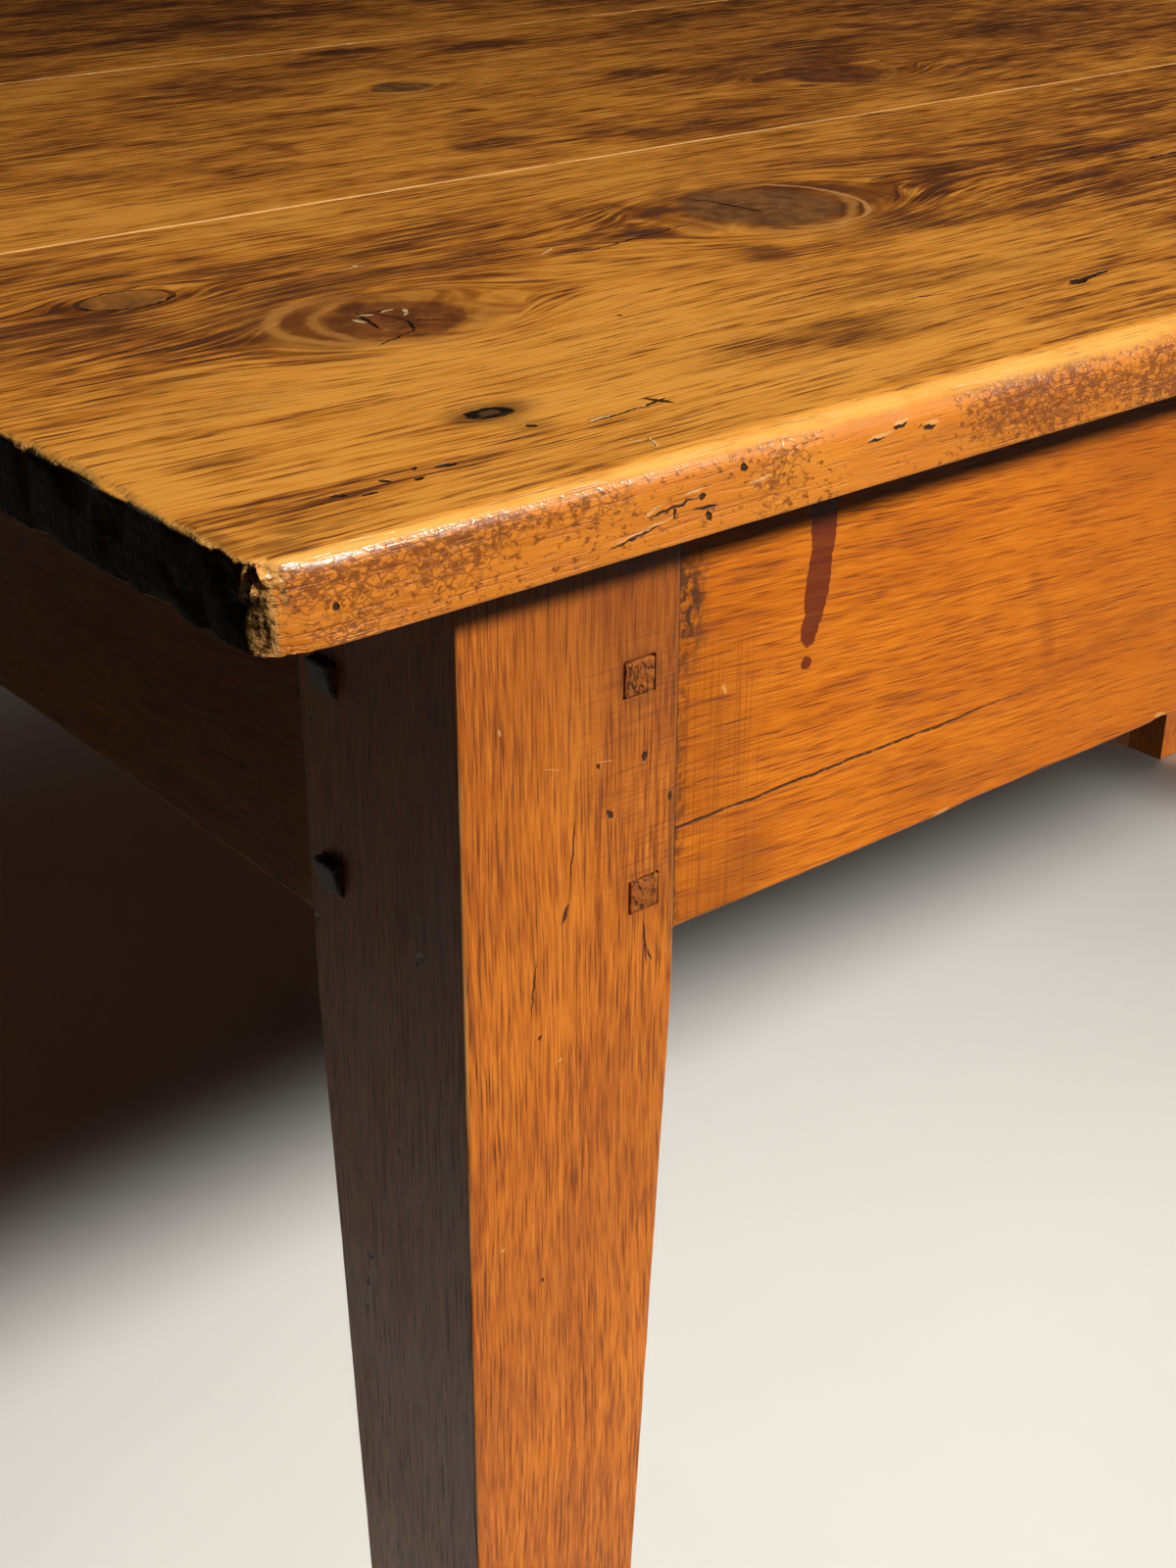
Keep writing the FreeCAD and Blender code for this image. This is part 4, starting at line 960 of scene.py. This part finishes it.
MIDDLE_TONES = [(-590, -60, 140, 90, 0, 0.21), (-120, -30, 190, 110, 0, -0.15), (-440, -78, 22, 16, 0, -0.20), (-511, -40, 10, 20, 0, -0.14), (-410, -20, 9, 7, 0, -0.25), (-488, 79, 42, 8, 0, -0.14), (-367, 135, 24, 13, 0, -0.22),
                (-298, 110, 50, 14, 0, -0.15), (-460, -116, 15, 8, 0, -0.20), (-377, 85, 12, 14, 0, -0.15), (-298, 8, 24, 12, 0, -0.20),
                (-604, -90, 60, 32, 0, 0.12), (-542, 115, 30, 20, 0, 0.06), (-500, 45, 25, 25, 0, 0.06), (-330, -60, 60, 20, 0, 0.05)]
MIDDLE_STAINS = [(-456.0, -80.0, 11.0, 12.0, 0, 0.9), (-382.0, -98.0, 10.0, 15.0, 12, 0.85), (-535.0, -8.0, 16.0, 9.0, -20, 0.8), (-401.0, 40.0, 20.0, 14.0, 20, 0.5),
                 (-298.0, 8.0, 20.0, 9.0, 0, 0.55), (-545.0, 2.0, 12.0, 4.0, -10, 0.5), (-425.0, -92.0, 24.0, 3.0, 0, 0.45), (-600.0, -40.0, 22.0, 4.0, 0, 0.4), (100.0, -60.0, 90.0, 12.0, 0, 0.4)]
BACK_KNOTS = [(-60.0, 260.0, 24.0, 20.0, "red"), (430.0, 320.0, 14.0, 10.0, "open")]
BACK_TONES = [(-470, 215, 60, 14, 0, -0.14), (-330, 250, 60, 12, 0, -0.12), (-400, 330, 60, 30, 0, -0.10), (-380, 190, 50, 10, 0, 0.08)]
BACK_STAINS = [(-399.0, 344.0, 34.0, 16.0, -10, 0.6), (200.0, 230.0, 90.0, 12.0, 0, 0.4), (-520.0, 190.0, 30.0, 5.0, 0, 0.4)]

mat_front = top_wood("top_front_pine", 1.7, 0.10, FRONT_KNOTS, FRONT_TONES, FRONT_STAINS, FRONT_MARKS, FRONT_CHIPS, nose=-1, extra=near_knots)
mat_middle = top_wood("top_middle_pine", 5.3, 0.04, MIDDLE_KNOTS, MIDDLE_TONES, MIDDLE_STAINS, seam=True)
mat_back = top_wood("top_back_pine", 8.9, -0.075, BACK_KNOTS, BACK_TONES, BACK_STAINS, nose=1, seam=True)

X_FRONT = samples((-746, -737, 0.8), (-737, -420, 2.6), (-420, 690, 9.0), (690, 737, 4.0), (737, 746, 0.9))
X_REST = samples((-746, -737, 0.9), (-737, -500, 5.0), (-500, 690, 9.0), (690, 737, 4.0), (737, 746, 0.9))
Z_TOP = samples((738, 741, 0.75), (741, 751, 2.0), (751, 760, 0.75))
Z_PLAIN = samples((738, 740, 0.6), (740, 757.6, 2.2), (757.6, 760, 0.5))

v, q = board(-HY, SEAM_1, 3, X_FRONT, samples((-400, -389, 0.8), (-389, -127, 2.9), (-127, -124, 0.5)), Z_TOP, True, False, 9.0, 1.2)
v = chew_corner(v, q, -743.0, -397.0, 40)
piece("top_board_front_worn", v, q, mat_front, "top_wood", "top_board_front")
v, q = board(SEAM_1, SEAM_2, 13, X_REST, samples((-124, -121, 0.4), (-121, 149, 3.4), (149, 152, 0.5)), Z_PLAIN, False, False, 1.2, 1.2)
piece("top_board_middle_worn", v, q, mat_middle, "top_wood", "top_board_middle")
v, q = board(SEAM_2, HY, 23, X_REST, samples((152, 155, 0.4), (155, 389, 3.4), (389, 400, 0.8)), Z_TOP, False, True, 1.2, 9.0)
piece("top_board_back_worn", v, q, mat_back, "top_wood", "top_board_back")

# ------------------------------------------------------------------ make the base
LEG_TONES = ((0.085, 0.018, 0.0030), (0.195, 0.043, 0.0042), (0.385, 0.096, 0.0075), (0.60, 0.185, 0.017))
APRON_TONES = ((0.115, 0.024, 0.0030), (0.31, 0.067, 0.0038), (0.51, 0.128, 0.0055), (0.68, 0.205, 0.012))
mat_near_leg = base_wood("leg_near_fruitwood", "z", LEG_TONES, 2.0, extra=near_leg_marks, spec=0.38)
mat_leg = base_wood("leg_fruitwood", "z", LEG_TONES, 6.0, spec=0.38)
mat_apron_front = base_wood("apron_front_fruitwood", "x", APRON_TONES, 3.0, slope=0.07, raw=("y", 1), extra=front_apron_marks, tone=0.03)
mat_apron_back = base_wood("apron_back_fruitwood", "x", APRON_TONES, 7.0, slope=-0.05, raw=("y", -1))
mat_apron_left = base_wood("apron_left_fruitwood", "y", LEG_TONES, 4.0, slope=0.04, raw=("x", 1), spec=0.10)
mat_apron_right = base_wood("apron_right_fruitwood", "y", LEG_TONES, 9.0, slope=-0.04, raw=("x", -1))
mat_peg = peg_wood("peg_end_grain")
mat_raw_x = raw_wood("raw_pine_lengthwise", "x")
mat_raw_y = raw_wood("raw_pine_crosswise", "y")
mat_steel = old_steel("old_screw_steel")

for k, (nm, sx, sy) in enumerate((("front_left", -1, -1), ("front_right", 1, -1), ("back_left", -1, 1), ("back_right", 1, 1))):
    v, q = leg(sx, sy, 100 + 40 * k)
    piece("leg_%s_worn" % nm, v, q, mat_near_leg if k == 0 else mat_leg, "base_wood", "leg_" + nm)
    v, q = pegs(sx, sy, 300 + 20 * k)
    piece("pegs_%s_worn" % nm, v, q, mat_peg, "peg_wood", "pegs_leg_" + nm)

IX, IY = OX - LEG, OY - LEG
l, d, z, q = apron(IX, 500, [(-IX, -IX + 3, 0.7), (-IX + 3, -380, 3.2), (-380, IX - 3, 9.0), (IX - 3, IX, 1.0)], check=True)
piece("apron_front_worn", np.stack([l, -(OY - 1.5) + d, z], 1), q, mat_apron_front, "base_wood", "apron_front")
l, d, z, q = apron(IX, 520, [(-IX, -IX + 3, 1.0), (-IX + 3, IX - 3, 8.0), (IX - 3, IX, 1.0)])
piece("apron_back_worn", np.stack([l, (OY - 1.5) - d, z], 1), q[:, ::-1], mat_apron_back, "base_wood", "apron_back")
l, d, z, q = apron(IY, 540, [(-IY, -IY + 3, 1.0), (-IY + 3, IY - 3, 5.0), (IY - 3, IY, 1.0)])
piece("apron_left_worn", np.stack([-(OX - 1.5) + d, l, z], 1), q[:, ::-1], mat_apron_left, "base_wood", "apron_left")
l, d, z, q = apron(IY, 560, [(-IY, -IY + 3, 1.0), (-IY + 3, IY - 3, 5.0), (IY - 3, IY, 1.0)])
piece("apron_right_worn", np.stack([(OX - 1.5) - d, l, z], 1), q, mat_apron_right, "base_wood", "apron_right")

for k, (nm, x0) in enumerate((("left", -400.0), ("centre", 0.0), ("right", 400.0))):
    v, q = bearer(x0, 700 + 10 * k)
    piece("cross_bearer_%s_sawn" % nm, v, q, mat_raw_y, "inner_wood", "cross_bearer_" + nm)

# pieces that keep their built shape, with their own materials, and eased edges on the buttons
for nm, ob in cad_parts.items():
    new = None
    if nm.startswith("buttons_front") or nm.startswith("buttons_back"):
        new = mat_raw_y
    elif nm.startswith("buttons_"):
        new = mat_raw_x
    elif nm.startswith("top_tongue"):
        new = mat_raw_x
    elif nm.endswith("_screws"):
        new = mat_steel
    if new is None:
        continue
    for k in range(len(ob.material_slots)):
        ob.material_slots[k].material = new
    if nm.startswith("buttons_"):
        bv = ob.modifiers.new("eased", "BEVEL")
        bv.width, bv.segments, bv.limit_method, bv.angle_limit = 0.0007, 2, "ANGLE", math.radians(40)

# ------------------------------------------------------------------ floor
me = bpy.data.meshes.new("floor")
s = 9.0
me.from_pydata([(-s, -s, 0), (s, -s, 0), (s, s, 0), (-s, s, 0)], [], [(0, 1, 2, 3)])
floor = bpy.data.objects.new("floor", me)
SCENE.collection.objects.link(floor)
floor.visible_diffuse = False      # the shaded end stays dark, as in a room with dark surroundings
g = Mat("pale_floor", spec=0.3)
cloud = g.noise(g.stretch((0.004, 0.004, 0.004)), 3.0, 0.55)
me.materials.append(g.finish(g.mix(cloud, (0.78, 0.765, 0.735), (0.84, 0.825, 0.795)), 0.62 + (cloud - 0.5) * 0.1, cloud * 0.05))

# a pale backdrop all round, rising out of the floor in a soft curve
ring, turn = 96, np.linspace(0.0, math.pi / 2, 20)
profile = [(5.8 + 2.6 * math.sin(t), 0.002 + 2.6 * (1.0 - math.cos(t))) for t in turn] + [(8.4, 4.5), (8.4, 7.0)]
me = bpy.data.meshes.new("backdrop")
me.from_pydata([(r * math.cos(2 * math.pi * k / ring), r * math.sin(2 * math.pi * k / ring), z) for r, z in profile for k in range(ring)], [],
               [(j * ring + k, j * ring + (k + 1) % ring, (j + 1) * ring + (k + 1) % ring, (j + 1) * ring + k) for j in range(len(profile) - 1) for k in range(ring)])
me.shade_smooth()
backdrop = bpy.data.objects.new("backdrop", me)
SCENE.collection.objects.link(backdrop)
backdrop.visible_diffuse = backdrop.visible_glossy = False
g = Mat("pale_backdrop", spec=0.0)
cloud = g.noise(g.stretch((0.0015, 0.0015, 0.0015)), 3.0, 0.55)
me.materials.append(g.finish(g.mix(cloud, (0.76, 0.755, 0.735), (0.82, 0.815, 0.795)), 0.95 + (cloud - 0.5) * 0.1, cloud * 0.05))

# ------------------------------------------------------------------ light
world = bpy.data.worlds.new("studio")
SCENE.world = world
world.use_nodes = True
bg = world.node_tree.nodes.get("Background") or world.node_tree.nodes.new("ShaderNodeBackground")
bg.inputs["Color"].default_value = (0.9, 0.93, 1.0, 1)
bg.inputs["Strength"].default_value = 0.006


def lamp(name, kind, at, to, watts, colour=(1, 1, 1), receivers=None, **settings):
    """receivers: INCLUDE lights only the floor, EXCLUDE lights everything but the floor, BACKDROP only the backdrop, GROUND both."""
    data = bpy.data.lights.new(name, kind)
    data.energy, data.color = watts, colour
    for key, value in settings.items():
        setattr(data, key, value)
    ob = bpy.data.objects.new(name, data)
    SCENE.collection.objects.link(ob)
    ob.location = at
    ob.rotation_euler = (Vector(to) - Vector(at)).to_track_quat("-Z", "Y").to_euler()
    ob.visible_camera = False
    if receivers:
        c = bpy.data.collections.new(name + "_receivers")
        for part in {"BACKDROP": (backdrop,), "GROUND": (floor, backdrop)}.get(receivers, (floor,)):
            c.objects.link(part)
        for link in c.collection_objects:
            link.light_linking.link_state = "EXCLUDE" if receivers == "EXCLUDE" else "INCLUDE"
        ob.light_linking.receiver_collection = c
    return ob


# the key: a soft lamp from the front right with a cone for the wood, and a pool for the floor
WARM = (1.0, 0.965, 0.90)
lamp("key_wood", "SPOT", (1.5, -4.85, 4.4), (-0.30, -1.40, 0.70), 3420.0, WARM, "EXCLUDE", spot_size=math.radians(28.8), spot_blend=1.0, shadow_soft_size=0.52)
pool = lamp("key_floor", "SPOT", (0.5, -4.77, 4.4), (-0.58, -0.16, 0.0), 2640.0, WARM, "INCLUDE", spot_size=math.radians(14.8), spot_blend=1.0, shadow_soft_size=0.52)
pool.scale = (2.0, 1.0, 1.0)
lamp("key_skirt", "SPOT", (0.5, -4.77, 4.4), (1.25, -0.15, 0.0), 620.0, WARM, "INCLUDE", spot_size=math.radians(37.0), spot_blend=1.0, shadow_soft_size=0.52)
# fills for the sides that the key leaves dark; the low ones stay under the level of the top
lamp("fill_front_right", "SPOT", (3.0, -3.4, 3.6), (0.95, -0.20, 0.70), 2600.0, WARM, "EXCLUDE", spot_size=math.radians(19.0), spot_blend=1.0, shadow_soft_size=0.45)
lamp("fill_right", "AREA", (3.2, 0.4, 0.60), (0.7, 0.1, 0.42), 40.0, WARM, "EXCLUDE", shape="RECTANGLE", size=1.8, size_y=0.25)
lamp("fill_back", "AREA", (0.3, 3.4, 0.60), (0.1, 0.4, 0.42), 62.0, WARM, "EXCLUDE", shape="RECTANGLE", size=2.6, size_y=0.25)
left = lamp("fill_left", "SPOT", (-3.0, 2.0, 0.60), (-0.7, 0.44, 0.42), 450.0, WARM, "EXCLUDE", spot_size=math.radians(14.0), spot_blend=1.0, shadow_soft_size=0.12)
left.scale = (1.0, 1.5, 1.0)
lamp("floor_near_left", "SPOT", (-1.0, -0.08, 4.0), (-1.0, -0.08, 0.0), 260.0, WARM, "INCLUDE", spot_size=math.radians(15.5), spot_blend=1.0, shadow_soft_size=0.2)
lamp("floor_behind", "SPOT", (0.1, 2.4, 5.0), (0.1, 2.4, 0.0), 330.0, WARM, "INCLUDE", spot_size=math.radians(25.0), spot_blend=1.0, shadow_soft_size=0.3)
# the floor round about, and the backdrop
for k in range(8):
    r = 4.1 if k in (3, 4) else 3.3
    px, py = r * math.cos(math.radians(45.0 * k)), r * math.sin(math.radians(45.0 * k))
    lamp("floor_round_%d" % k, "SPOT", (px, py, 6.0), (px, py, 0.0), 430.0 if k in (3, 4) else 680.0, WARM, "GROUND", spot_size=math.radians(42.0), spot_blend=1.0, shadow_soft_size=0.3)
for k in range(12):
    px, py = 5.9 * math.cos(math.radians(30.0 * k)), 5.9 * math.sin(math.radians(30.0 * k))
    lamp("floor_far_%d" % k, "SPOT", (px, py, 6.5), (px, py, 0.0), 640.0, WARM, "GROUND", spot_size=math.radians(40.0), spot_blend=1.0, shadow_soft_size=0.3)
lamp("backdrop_wash", "POINT", (0.0, 0.0, 0.35), (0.0, 0.0, 1.0), 1300.0, WARM, "BACKDROP", use_shadow=False)

# ------------------------------------------------------------------ camera
yaw, pitch, roll = math.radians(50.58980), math.radians(26.89866), math.radians(0.24381)
look = Vector((math.cos(pitch) * math.cos(yaw), math.cos(pitch) * math.sin(yaw), -math.sin(pitch)))
r0 = Vector((math.sin(yaw), -math.cos(yaw), 0.0))
u0 = r0.cross(look)
right = math.cos(roll) * r0 + math.sin(roll) * u0
up = -math.sin(roll) * r0 + math.cos(roll) * u0
cam = bpy.data.cameras.new("camera")
cam.lens = 2282.068 * 36.0 / 1600.0
cam.sensor_width = 36.0
cam.clip_start, cam.clip_end = 0.02, 60.0
cam_ob = bpy.data.objects.new("camera", cam)
SCENE.collection.objects.link(cam_ob)
m = Matrix.Identity(4)
for k in range(3):
    m[k][0], m[k][1], m[k][2] = right[k], up[k], -look[k]
m[0][3], m[1][3], m[2][3] = -0.96136, -0.76800, 0.92574
cam_ob.matrix_world = m
SCENE.camera = cam_ob

SCENE.view_settings.view_transform = "Standard"
SCENE.view_settings.look = "None"
